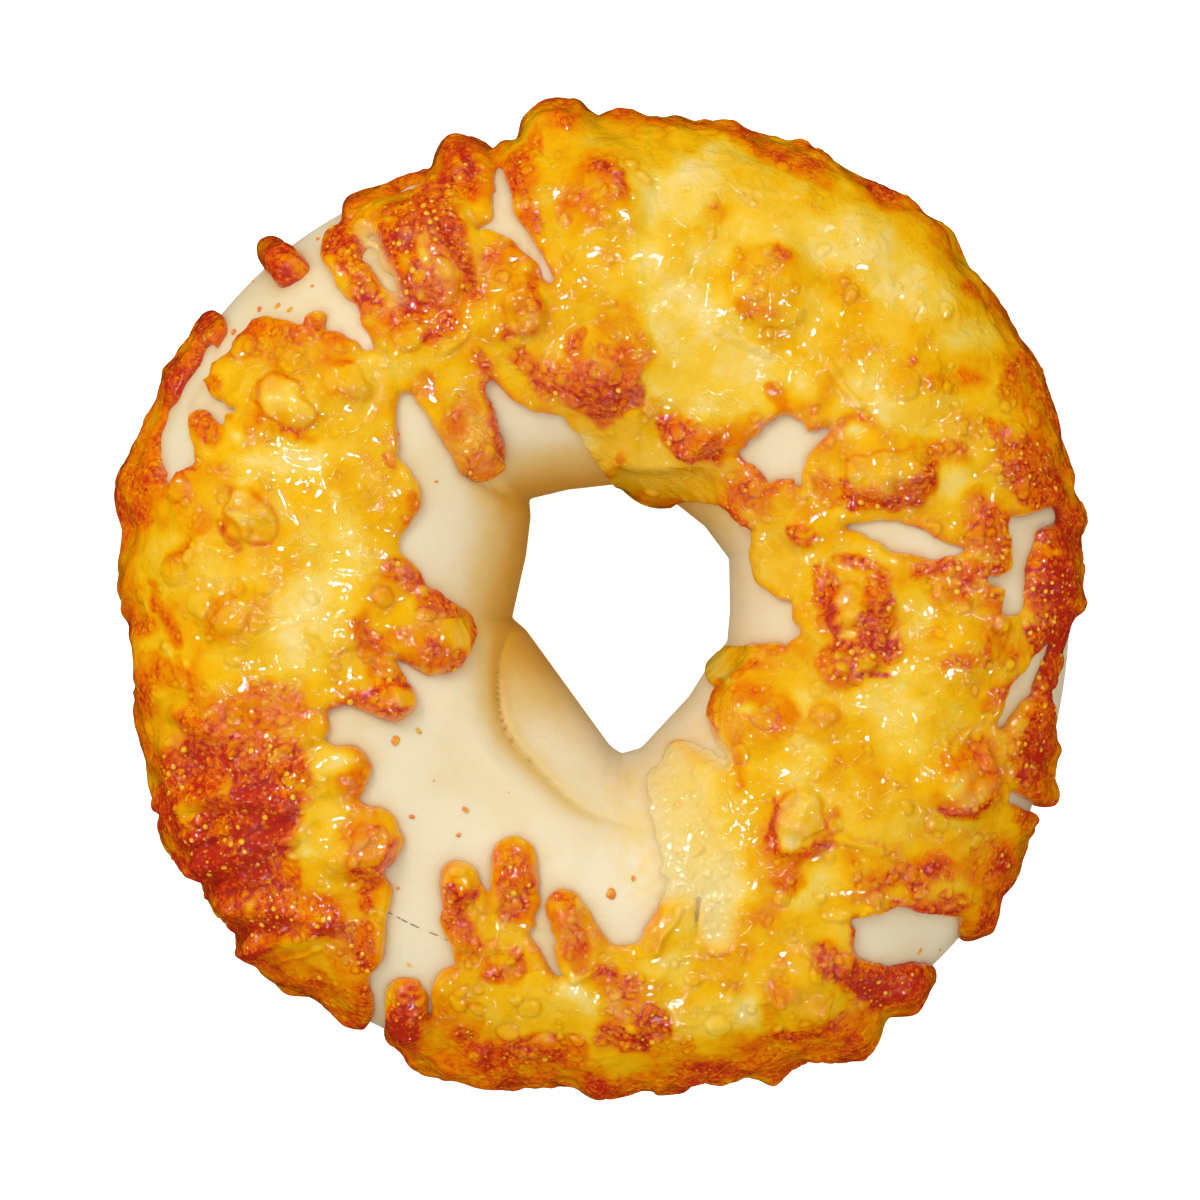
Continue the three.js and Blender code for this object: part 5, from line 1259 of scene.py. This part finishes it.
def dough_material(settings):
    material, graph, surface = new_material("steamed dough", {
        "Subsurface Weight": 0.5, "Subsurface Radius": (1.0, 0.55, 0.18), "Subsurface Scale": 0.0016,
        "Coat Weight": 0.08, "Coat Roughness": 0.25})
    warm = graph.ramp(graph.noise(9, 3), 0.42, 0.72) * 0.35
    shade = graph.mix(warm, tuple(settings.skin), tuple(settings.shade))
    # Painted shade on the walls of the hole and in the creases, and toast towards the underside: tan, then
    # amber where deepest.
    tan = graph.attribute("tan") + (graph.noise(3.2, 3) - 0.5) * 0.25
    shade = graph.mix(graph.ramp(tan, 0.05, 0.5), shade, tuple(settings.shade))
    shade = graph.mix(graph.ramp(tan, 0.4, 1.0), shade, tuple(settings.amber_shade))
    melt = graph.attribute("oily") * graph.ramp(graph.noise(1.6, 3), 0.25, 0.6)
    shade = graph.mix(melt * 0.7, shade, OILY_DOUGH)
    # A darker, warmer band on the bare dough beside the cheese's edge.
    shade = graph.mix(graph.attribute("stain") * 0.55, shade, EDGE_BAND_DOUGH)
    flecks = graph.ramp(graph.noise(0.45, 2), 0.62, 0.75) * 0.1
    shade = graph.mix(flecks, shade, FLECK)
    away = graph.math("ABSOLUTE", graph.attribute("seam"))
    crack = graph.ramp(away, 0.12, 0.03) * graph.ramp(graph.noise(0.6, 2), 0.44, 0.54)
    crack = crack * graph.attribute("upper")
    shade = graph.mix(crack, shade, tuple(settings.crack))
    graph.feed(surface["Base Color"], shade)
    graph.feed(surface["Roughness"], 0.36 + graph.noise(0.8, 2) * 0.18)
    relief = graph.noise(0.55, 3, 0.6) + graph.noise(2.6, 2) * 1.5 - crack * 1.5
    bump = graph.node("ShaderNodeBump", None, {
        "Strength": 0.45, "Distance": settings.grain, "Height": relief}, "Normal")
    graph.feed(surface["Normal"], bump)
    return material


def cheese_material(settings):
    material, graph, surface = new_material("browned cheese", {
        "Subsurface Weight": 0.3, "Subsurface Radius": (1.0, 0.45, 0.1), "Subsurface Scale": 0.0009,
        "Specular IOR Level": 0.5, "Coat Weight": 0.2, "Coat Roughness": 0.04})
    brown = graph.attribute("brown")
    coarse = (graph.noise(3.0, 3) - 0.5) * 0.6 * (graph.ramp(brown, 0.22, 0.5) * 0.6 + 0.4)
    fine = (graph.noise(0.75, 3, 0.6) - 0.5) * 0.42 * (graph.ramp(brown, 0.3, 0.6) * 0.85 + 0.15)
    dark = graph.ramp(brown, 0.42, 0.58)
    creases = graph.lines(2.4, 2, 0.03) * graph.ramp(brown, 0.3, 0.5)
    runs = graph.lines(1.35, 3, 0.045) * dark
    brown = brown + coarse + fine + graph.attribute("tone") + creases * 0.16 - runs * 0.2
    stops = [
        (0.0, settings.pale), (0.12, settings.yellow), (0.24, settings.golden), (0.39, settings.orange),
        (0.51, settings.deep), (0.64, settings.red), (0.82, settings.burnt),
    ]
    shade = graph.node("ShaderNodeValToRGB", {"stops": stops}, {"Fac": brown}, "Color")
    speck = graph.ramp(graph.dots(0.75), 0.3, 0.16) * graph.ramp(brown, 0.5, 0.7)
    speck = speck * graph.ramp(graph.noise(3, 1), 0.45, 0.6)
    shade = graph.mix(speck * 0.5, shade, tuple(settings.golden))
    shade = graph.mix(graph.attribute("film") * 0.6, shade, tuple(settings.foam))
    shade = graph.mix(graph.attribute("fade") * 0.85, shade, DRIED_FOAM)
    # Paler tops of the shreds, partly painted sheen.
    shade = graph.mix(graph.attribute("cream") * 0.42, shade, CREAM_AND_SHEEN_TINT)
    graph.feed(surface["Base Color"], shade)
    graph.feed(surface["Roughness"], 0.02 + graph.noise(1.1, 2) * 0.06)
    rough_patches = graph.ramp(graph.noise(4.5, 2), 0.36, 0.56) * 0.7 + 0.3 + dark * 0.4
    relief = (graph.noise(1.05, 0) * 3.4 + graph.lines(1.7, 2, 0.05) * 1.5) * rough_patches + speck * 0.6
    bump = graph.node("ShaderNodeBump", None, {
        "Strength": 0.6, "Distance": 0.06 * MM, "Height": relief}, "Normal")
    graph.feed(surface["Normal"], bump)
    return material


def blister_material(settings):
    material, graph, surface = new_material("blisters", {"Coat Weight": 0.3, "Coat Roughness": 0.05})
    # Painted highlight and shade: each blister golden at its top and red towards its foot.
    crest = graph.attribute("crest") + (graph.noise(0.9, 2) - 0.5) * 0.8
    shade = graph.mix(graph.ramp(crest, 0.15, 0.75), tuple(settings.red), tuple(settings.golden))
    shade = graph.mix(graph.ramp(graph.attribute("brown"), 0.75, 0.4) * 0.7, shade, tuple(settings.golden))
    graph.feed(surface["Base Color"], shade)
    graph.feed(surface["Roughness"], 0.1 + graph.noise(0.8, 2) * 0.12)
    return material


def crumb_material(settings):
    material, graph, surface = new_material("crumbs", {})
    browned = graph.ramp(graph.noise(0.8, 2), 0.35, 0.65)
    shade = graph.mix(browned, tuple(settings.golden), tuple(settings.deep))
    graph.feed(surface["Base Color"], shade)
    graph.feed(surface["Roughness"], 0.3 + graph.noise(0.5, 2) * 0.3)
    return material


def floor_material(settings):
    material, graph, surface = new_material("pale floor", {
        "Roughness": 0.7, "Emission Color": (1, 1, 1, 1), "Emission Strength": 0.8})
    shade = graph.mix(graph.noise(40, 2) * 0.05, tuple(settings.floor), FLOOR_GRAIN)
    graph.feed(surface["Base Color"], shade)
    return material


# ---- Geometry Nodes ----

BLISTER_TRIES = 1.4e6  # places tried on a square metre
BLISTER_SHAPE, CRUMB_SHAPE = (1, 1, 0.75), (1.2, 0.9, 0.6)  # how far a ball is stretched each way
CRUMB_SWELL = 0.625  # the scale of a crumb's unevenness


def geometry_graph(name, sizes):
    """A new geometry tree with named inputs: its graph, its inputs as wires, and its output socket."""
    tree = bpy.data.node_groups.new(name, "GeometryNodeTree")
    tree.interface.new_socket("Geometry", in_out="INPUT", socket_type="NodeSocketGeometry")
    for label, kind in sizes.items():
        tree.interface.new_socket(label, in_out="INPUT", socket_type=kind)
    tree.interface.new_socket("Geometry", in_out="OUTPUT", socket_type="NodeSocketGeometry")
    graph = Graph(tree)
    entry, way_out = tree.nodes.new("NodeGroupInput"), tree.nodes.new("NodeGroupOutput")
    inputs = {socket.name: Wire(graph, socket) for socket in entry.outputs if socket.name}
    return graph, inputs, way_out.inputs[0]


def grown(carrier, graph, sizes, name):
    """The plain mesh that a geometry tree makes on a carrier object, as a new object. The carrier goes."""
    modifier = carrier.modifiers.new(name, "NODES")
    modifier.node_group = graph.tree
    for item in graph.tree.interface.items_tree:
        if item.in_out == "INPUT" and item.name in sizes:
            modifier[item.identifier] = sizes[item.name]
    evaluated = carrier.evaluated_get(bpy.context.evaluated_depsgraph_get())
    mesh = bpy.data.meshes.new_from_object(evaluated)
    mesh.name = name
    bpy.data.objects.remove(carrier)
    piece = bpy.data.objects.new(name, mesh)
    bpy.context.scene.collection.objects.link(piece)
    if not len(mesh.polygons):
        raise RuntimeError(f"{name} came out empty")
    return piece


def blister_graph(material):
    graph, sizes, end = geometry_graph("blisters", {
        "Smallest": "NodeSocketFloat", "Largest": "NodeSocketFloat", "Spacing": "NodeSocketFloat",
        "Seed": "NodeSocketInt"})
    points = graph.node("GeometryNodeDistributePointsOnFaces", {"distribute_method": "POISSON"}, {
        "Mesh": sizes["Geometry"], "Distance Min": sizes["Spacing"], "Density Max": BLISTER_TRIES,
        "Density Factor": graph.stored("share"), "Seed": sizes["Seed"]}, "Points")
    ball = graph.node("GeometryNodeMeshIcoSphere", None, {"Radius": 1.0, "Subdivisions": 2}, "Mesh")
    # The height on the ball, kept as crest, sets the painted highlight on a blister's top and the painted
    # shade at its foot.
    place = graph.node("GeometryNodeInputPosition")
    height = graph.node("ShaderNodeSeparateXYZ", None, {"Vector": place}, "Z")
    ball = graph.node("GeometryNodeStoreNamedAttribute", {"data_type": "FLOAT", "domain": "POINT"}, {
        "Geometry": ball, "Name": "crest", "Value": height})
    ball = graph.node("GeometryNodeTransform", None, {"Geometry": ball, "Scale": BLISTER_SHAPE})
    draw = graph.node("FunctionNodeRandomValue", {"data_type": "FLOAT"}, {
        2: 0.0, 3: 1.0, "Seed": sizes["Seed"]}, 1)
    size = sizes["Smallest"] + draw * draw * (sizes["Largest"] - sizes["Smallest"])
    blisters = graph.node("GeometryNodeInstanceOnPoints", None, {
        "Points": points, "Instance": ball, "Rotation": points.other("Rotation"), "Scale": size})
    blisters = graph.node("GeometryNodeSetShadeSmooth", None, {"Geometry": blisters})
    blisters = graph.node("GeometryNodeRealizeInstances", None, {"Geometry": blisters})
    blisters = graph.node("GeometryNodeSetMaterial", None, {"Geometry": blisters, "Material": material})
    graph.feed(end, blisters)
    return graph


def crumb_graph(material):
    graph, sizes, end = geometry_graph("crumbs", {"Unevenness": "NodeSocketFloat", "Seed": "NodeSocketInt"})
    ball = graph.node("GeometryNodeMeshIcoSphere", None, {"Radius": 1.0, "Subdivisions": 3}, "Mesh")
    ball = graph.node("GeometryNodeTransform", None, {"Geometry": ball, "Scale": CRUMB_SHAPE})
    turn = graph.node("FunctionNodeRandomValue", {"data_type": "FLOAT_VECTOR"}, {
        0: (0.0, 0.0, 0.0), 1: (0.5, 0.5, TURN), "Seed": sizes["Seed"]}, 0)
    crumbs = graph.node("GeometryNodeInstanceOnPoints", None, {
        "Points": sizes["Geometry"], "Instance": ball, "Rotation": turn, "Scale": graph.stored("radius")})
    crumbs = graph.node("GeometryNodeRealizeInstances", None, {"Geometry": crumbs})
    swell = graph.node("ShaderNodeTexNoise", None, {
        "Vector": graph.node("GeometryNodeInputPosition"), "Scale": 1 / (CRUMB_SWELL * MM)}, "Color")
    middle = graph.node("ShaderNodeVectorMath", {"operation": "SUBTRACT"}, {0: swell, 1: (0.5, 0.5, 0.5)})
    offset = graph.node("ShaderNodeVectorMath", {"operation": "SCALE"}, {
        0: middle, "Scale": sizes["Unevenness"] * 4})
    crumbs = graph.node("GeometryNodeSetPosition", None, {"Geometry": crumbs, "Offset": offset})
    crumbs = graph.node("GeometryNodeSetShadeSmooth", None, {"Geometry": crumbs})
    crumbs = graph.node("GeometryNodeSetMaterial", None, {"Geometry": crumbs, "Material": material})
    graph.feed(end, crumbs)
    return graph


# ---- Operators ----

FINE_ARC = (185, 290)  # the degrees round the ring where creases need more points
UPPER_SIDE = 190  # the degrees round its section, from the outer side over the top, that need more points
EDGE_BAND_REACH = 0.55  # over what distance the bare dough beside the cheese is tinted darker and warmer
SHADED_WALL = 140  # the degrees round the ring where the wall of the hole, turned from the key light, gets the deepest painted shade


class BAGEL_OT_dough(bpy.types.Operator):
    """Make the ring of dough"""

    bl_idname = "bagel.dough"
    bl_label = "Dough"

    def execute(self, context):
        fine, coarse = np.arange(*FINE_ARC, 0.5), evenly(FINE_ARC[1], FINE_ARC[0] + 360, 235)
        theta = np.radians(np.concatenate([fine, coarse]))
        phi = np.radians(np.concatenate([evenly(0, UPPER_SIDE, 150), evenly(UPPER_SIDE, 360, 52)]))
        rows, columns = len(theta), len(phi)
        t, p = (a.ravel() for a in np.meshgrid(theta, phi, indexing="ij"))
        points = dough_point(t, p)
        x, y = points[:, 0], points[:, 1]
        here = np.arange(rows * columns).reshape(rows, columns)
        beside = np.roll(here, -1, axis=0)
        above, across = np.roll(here, -1, axis=1), np.roll(beside, -1, axis=1)
        quads = np.stack([here, beside, across, above], -1).reshape(-1, 4)
        up = smoothstep(points[:, 2], 20, 33)
        # Painted shade: tan and amber on the wall of the hole, deepest where it is turned from the key light.
        shaded_side = 0.12 + 0.88 * smoothstep(np.cos(t - np.radians(SHADED_WALL)), -0.7, 0.5)
        wall = smoothstep(np.degrees(p), 118, 164) * smoothstep(np.degrees(p), 360, 200) * shaded_side
        # Painted shade in the creases.
        crease_shade = crease_depth(x, y)[1] * up
        away, _, left = curve_distance(x, y, smooth_curve(SEAM_CRACK, 6))
        stain = np.exp(-np.maximum(-cheese_depth(x, y), 0) / EDGE_BAND_REACH)
        values = {
            # painted shade on the walls and in the creases, and toast towards the underside
            "tan": np.clip(wall * 0.9 + crease_shade + 0.3 * smoothstep(points[:, 2], 7, 0), 0, 1),
            "seam": np.clip(np.where(left, away, -away), -3, 3),
            "upper": up,
            "oily": smoothstep(-bars_distance(x, y, FILMS, 1.0), -3, 1.5) * up,
            "stain": stain * smoothstep(points[:, 2], 14, 22),
        }
        piece = mesh_object("bagel_dough", points, quads, values, dough_material(context.scene.bagel_dough))
        claim(piece, "crust", "dough")
        return {"FINISHED"}


def melt_surface(settings):
    """The trimmed lattice, its points and normals on the dough, its thickness, its places and attributes."""
    trim = Trim(settings.spacing / MM)
    theta, phi, stretch = on_ring(trim.u, trim.v)
    base = dough_point(theta, phi)
    normal = dough_normal(theta, phi)
    x, y = flattened(theta, phi, base)
    depth = np.maximum(cheese_depth(x, y), 0)
    depth[np.unique(open_edges(trim.triangles))] = 0
    brown = browning(x, y)
    runs = 0.36 + 0.12 * noise(trim.u, trim.v, 5, 46) + 0.08 * noise(trim.u, trim.v, 1.8, 47)
    brown += 0.85 * smoothstep(np.degrees(phi), 32, 6) * (runs - brown)
    foam = film_share(x, y, FILMS)
    film = np.maximum(foam, film_share(x, y, THIN_MELT))
    toasted = smoothstep(brown, 0.2, 0.6)
    side = smoothstep(np.degrees(phi), 48, 8)
    height, crest, tone, foot = (np.zeros(x.shape) for _ in range(4))
    wave_u = trim.u + 0.25 * noise(trim.u, trim.v, 1.1, 61)
    wave_v = trim.v + 0.25 * noise(trim.u, trim.v, 1.1, 62)
    layers = [(sizes, rise, 1 - lost * side) for sizes, rise, lost in MELT_BUBBLES]
    layers += [(sizes, rise, foam) for sizes, rise in FOAM_BUBBLES]
    for sizes, rise, presence in layers:
        dome, up, near_foot, own = Domes(*sizes).at(wave_u, wave_v, stretch)
        height += dome * rise * presence
        crest = np.maximum(crest, up * presence)
        foot = np.maximum(foot, near_foot * presence)
        tone += own * (dome > 0) * presence
    ridges = 1 - np.abs(noise(wave_u, wave_v, 2.7, 54))
    ripple = (0.18 + 0.35 * side) * noise(trim.u, trim.v, 3.4, 51) + 0.08 * noise(wave_u, wave_v, 1.5, 52)
    fine = 0.16 * ridges ** 3 * (1 - 0.7 * side)
    raised, outline, cream = shreds(x, y)
    outline = outline * np.clip(0.65 + 0.5 * noise(x, y, 2.4, 39), 0, 1)
    swell = lump_height(x, y) + cheese_waves(x, y) + raised
    full = settings.thickness / MM + swell + ripple + fine + height - 0.14 * foot
    full = full + (0.3 + 0.8 * height + 0.4 * ripple + 0.6 * fine - full) * film
    full = np.maximum(full, THINNEST)
    edge = settings.edge_thickness / MM * (1 - 0.85 * film)
    slope = 1 - np.clip(depth / (settings.edge_width / MM * (1 + 1.5 * foam)), 0, 1)
    thickness = edge + (full - edge) * np.sqrt(1 - slope * slope)
    rim = np.exp(-depth / 0.5) * (1 - film) * (0.7 + 0.5 * noise(trim.u, trim.v, 4, 55))
    # Painted shade and highlight: browner in a ring round each bubble's foot and paler at its top; the
    # shreds' outlines are browning with painted shade at their feet; browner on the steep sides, painted
    # shade where the sheet turns down from the light. The band along the sheet's edge is browning.
    brown = brown + (0.03 + 0.22 * toasted) * foot * (1 - crest) - 0.12 * toasted * crest + 0.16 * rim \
        + 0.24 * outline + side * (1 - film) * np.clip(0.14 + 0.16 * noise(x, y, 3.2, 43), 0, 1)
    values = {
        "brown": brown,
        "tone": 0.07 * tone * toasted,
        "film": foam * (1 - toasted),
        "cream": cream * np.clip(0.5 + noise(x, y, 1.0, 40), 0, 1),
        "fade": foam * np.exp(-depth / 2.4),
    }
    return trim, base, normal, thickness, (x, y), values


class BAGEL_OT_cheese(bpy.types.Operator):
    """Make the melted cheese and the loose drop"""

    bl_idname = "bagel.cheese"
    bl_label = "Cheese"

    def execute(self, context):
        settings = context.scene.bagel_cheese
        trim, base, normal, thickness, (x, y), values = melt_surface(settings)
        upper = base + normal * thickness[:, None]
        lower = base - normal * SUNK
        triangles = trim.triangles
        centres = np.stack([x[triangles].mean(axis=1), y[triangles].mean(axis=1)], 1)
        group = joined_groups(triangles, centres, PARTINGS)
        faces = face_normals(upper, triangles)
        shared = np.zeros(upper.shape)
        for corner in range(3):
            for axis in range(3):
                shared[:, axis] += np.bincount(triangles[:, corner], faces[:, axis], len(upper))
        shared /= np.linalg.norm(shared, axis=1, keepdims=True)
        outline = set(np.unique(open_edges(triangles)).tolist())
        material = cheese_material(settings)
        for name, place in dict(MELT_PIECES, melt_drop=DROP_PLACE).items():
            chosen = group[np.argmin(np.hypot(centres[:, 0] - place[0], centres[:, 1] - place[1]))]
            own = triangles[group == chosen]
            border = open_edges(own)
            nodes = np.unique(own)
            inner = nodes[trim.sparse[nodes] & ~np.isin(nodes, border)]
            floor = underside(trim.u, trim.v, border, inner)
            floor_nodes = np.unique(floor)
            top = np.full(len(upper), -1)
            top[nodes] = np.arange(len(nodes))
            bottom = np.full(len(upper), -1)
            bottom[floor_nodes] = len(nodes) + np.arange(len(floor_nodes))
            a, b = border.T
            walls = np.concatenate([
                np.stack([top[b], top[a], bottom[a]], 1), np.stack([top[b], bottom[a], bottom[b]], 1)])
            shell = np.concatenate([top[own], bottom[floor[:, ::-1]], walls])
            points = np.concatenate([upper[nodes], lower[floor_nodes]])
            numbers = {label: np.concatenate([v[nodes], v[floor_nodes]]) for label, v in values.items()}
            piece = mesh_object(name, points, shell, numbers, material)
            parted = np.array([node for node in np.unique(border).tolist() if node not in outline], int)
            if len(parted):
                normals = np.zeros((len(points), 3))
                normals[top[parted]] = shared[parted]
                piece.data.normals_split_custom_set_from_vertices(normals.tolist())
            claim(piece, "cheese", "cheese_drop" if name == "melt_drop" else "cheese_melt")
        return {"FINISHED"}


class BAGEL_OT_blisters(bpy.types.Operator):
    """Scatter small blisters over the browned cheese"""

    bl_idname = "bagel.blisters"
    bl_label = "Blisters"

    def execute(self, context):
        settings = context.scene.bagel_blisters
        material = blister_material(context.scene.bagel_cheese)
        points, triangles, brown, count = [], [], [], 0
        for mesh in (bpy.data.objects[name].data for name in MELT_PIECES):
            place = np.zeros(3 * len(mesh.vertices), np.float32)
            mesh.vertices.foreach_get("co", place)
            corners = np.zeros(len(mesh.loops), np.int32)
            mesh.loops.foreach_get("vertex_index", corners)
            tones = np.zeros(len(mesh.vertices), np.float32)
            mesh.attributes["brown"].data.foreach_get("value", tones)
            points.append(place.reshape(-1, 3) / MM)
            triangles.append(corners.reshape(-1, 3) + count)
            brown.append(tones)
            count += len(mesh.vertices)
        points, triangles, brown = (np.concatenate(part) for part in (points, triangles, brown))
        upward = face_normals(points, triangles)[:, 2] > 0
        triangles = triangles[upward & (points[triangles, 2].min(axis=1) > EQUATOR_HEIGHT)]
        x, y = points[:, 0], points[:, 1]
        clusters = smoothstep(noise(x, y, 5, 71) + 0.5 * noise(x, y, 2, 72), -0.1, 0.5)
        share = smoothstep(brown, 0.46, 0.7) * (0.25 + 0.75 * clusters) * smoothstep(points[:, 2], 23, 30)
        carrier = mesh_object("carrier", points, triangles, {"brown": brown, "share": share}, material)
        piece = grown(carrier, blister_graph(material), {
            "Smallest": settings.smallest, "Largest": settings.largest, "Spacing": settings.spacing,
            "Seed": settings.seed}, "blisters")
        claim(piece, "cheese")
        return {"FINISHED"}


class BAGEL_OT_crumbs(bpy.types.Operator):
    """Lay the crumbs on the bare dough"""

    bl_idname = "bagel.crumbs"
    bl_label = "Crumbs"

    def execute(self, context):
        settings = context.scene.bagel_crumbs
        x, y, radius = np.array(CRUMBS, float).T
        mesh = bpy.data.meshes.new("crumb places")
        mesh.from_pydata((on_dough(x, y) * MM).tolist(), [], [])
        layer = mesh.attributes.new("radius", "FLOAT", "POINT")
        layer.data.foreach_set("value", (radius * MM).astype(np.float32))
        carrier = bpy.data.objects.new("crumb places", mesh)
        context.scene.collection.objects.link(carrier)
        graph = crumb_graph(crumb_material(context.scene.bagel_cheese))
        piece = grown(carrier, graph, {"Unevenness": settings.unevenness, "Seed": settings.seed}, "crumbs")
        claim(piece, "cheese")
        return {"FINISHED"}


class BAGEL_OT_stage(bpy.types.Operator):
    """Set up the floor, the camera and the light"""

    bl_idname = "bagel.stage"
    bl_label = "Stage"

    def area_light(self, context, name, place, size, power, tint):
        lamp = bpy.data.lights.new(name, "AREA")
        lamp.shape, lamp.size, lamp.energy, lamp.color = "DISK", size, power, tint
        light = bpy.data.objects.new(name, lamp)
        light.location = place
        aim = -np.array(place)
        tilt, turn = math.atan2(math.hypot(aim[0], aim[1]), -aim[2]), math.atan2(aim[0], -aim[1]) + math.pi
        light.rotation_euler = (tilt, 0, turn)
        light.visible_camera = False
        context.scene.collection.objects.link(light)
        return light

    def execute(self, context):
        settings = context.scene.bagel_stage
        scene = context.scene
        square = ((-1, -1), (1, -1), (1, 1), (-1, 1))
        corners = np.array([(FLOOR_HALF * x, FLOOR_HALF * y, -FLOOR_GAP) for x, y in square])
        floor = mesh_object("floor", corners, np.array([[0, 1, 2, 3]]), {}, floor_material(settings))
        floor.visible_diffuse = False
        floor.visible_glossy = False
        for name, place, size, power, tint in SOFT_LIGHTS:
            light = self.area_light(context, name, place, size, getattr(settings, power), tint)
            light.visible_glossy = False
        for place, size, power in GLINTS:
            glint = self.area_light(context, "glint", place, size, settings.glint_power * power, (1, 1, 1))
            glint.visible_diffuse = False
        world = bpy.data.worlds.new("studio")
        world.use_nodes = True
        background = world.node_tree.nodes["Background"]
        background.inputs["Color"].default_value = ROOM_LIGHT
        background.inputs["Strength"].default_value = ROOM_STRENGTH
        world.cycles_visibility.glossy = False
        scene.world = world
        camera = bpy.data.cameras.new("camera")
        camera.sensor_width = SENSOR
        camera.lens = SENSOR * settings.camera_height / settings.view_width
        camera.clip_start, camera.clip_end = 0.05, 50
        viewer = bpy.data.objects.new("camera", camera)
        viewer.location = (0, 0, settings.camera_height + EQUATOR_HEIGHT * MM)
        scene.collection.objects.link(viewer)
        scene.camera = viewer
        scene.view_settings.view_transform = "Standard"
        return {"FINISHED"}


class BAGEL_PT_panel(bpy.types.Panel):
    """The bagel's parts and their settings"""

    bl_idname = "BAGEL_PT_panel"
    bl_label = "Cheese bagel"
    bl_space_type = "VIEW_3D"
    bl_region_type = "UI"
    bl_category = "Bagel"

    def draw(self, context):
        for operator, group in PARTS:
            self.layout.operator(operator)
            settings = getattr(context.scene, group)
            for name in settings.__annotations__:
                self.layout.prop(settings, name)


PARTS = [
    ("bagel.dough", "bagel_dough"), ("bagel.cheese", "bagel_cheese"), ("bagel.blisters", "bagel_blisters"),
    ("bagel.crumbs", "bagel_crumbs"), ("bagel.stage", "bagel_stage"),
]
GROUPS = {
    "bagel_dough": DoughSettings, "bagel_cheese": CheeseSettings, "bagel_blisters": BlisterSettings,
    "bagel_crumbs": CrumbSettings, "bagel_stage": StageSettings,
}
CLASSES = [
    *GROUPS.values(), BAGEL_OT_dough, BAGEL_OT_cheese, BAGEL_OT_blisters, BAGEL_OT_crumbs, BAGEL_OT_stage,
    BAGEL_PT_panel,
]


def register():
    for cls in CLASSES:
        bpy.utils.register_class(cls)
    for name, group in GROUPS.items():
        setattr(bpy.types.Scene, name, bpy.props.PointerProperty(type=group))


def unregister():
    for name in GROUPS:
        delattr(bpy.types.Scene, name)
    for cls in reversed(CLASSES):
        bpy.utils.unregister_class(cls)


def main():
    register()
    bpy.ops.bagel.stage()
    bpy.ops.bagel.dough()
    bpy.ops.bagel.cheese()
    bpy.ops.bagel.blisters()
    bpy.ops.bagel.crumbs()


if __name__ == "__main__":
    main()
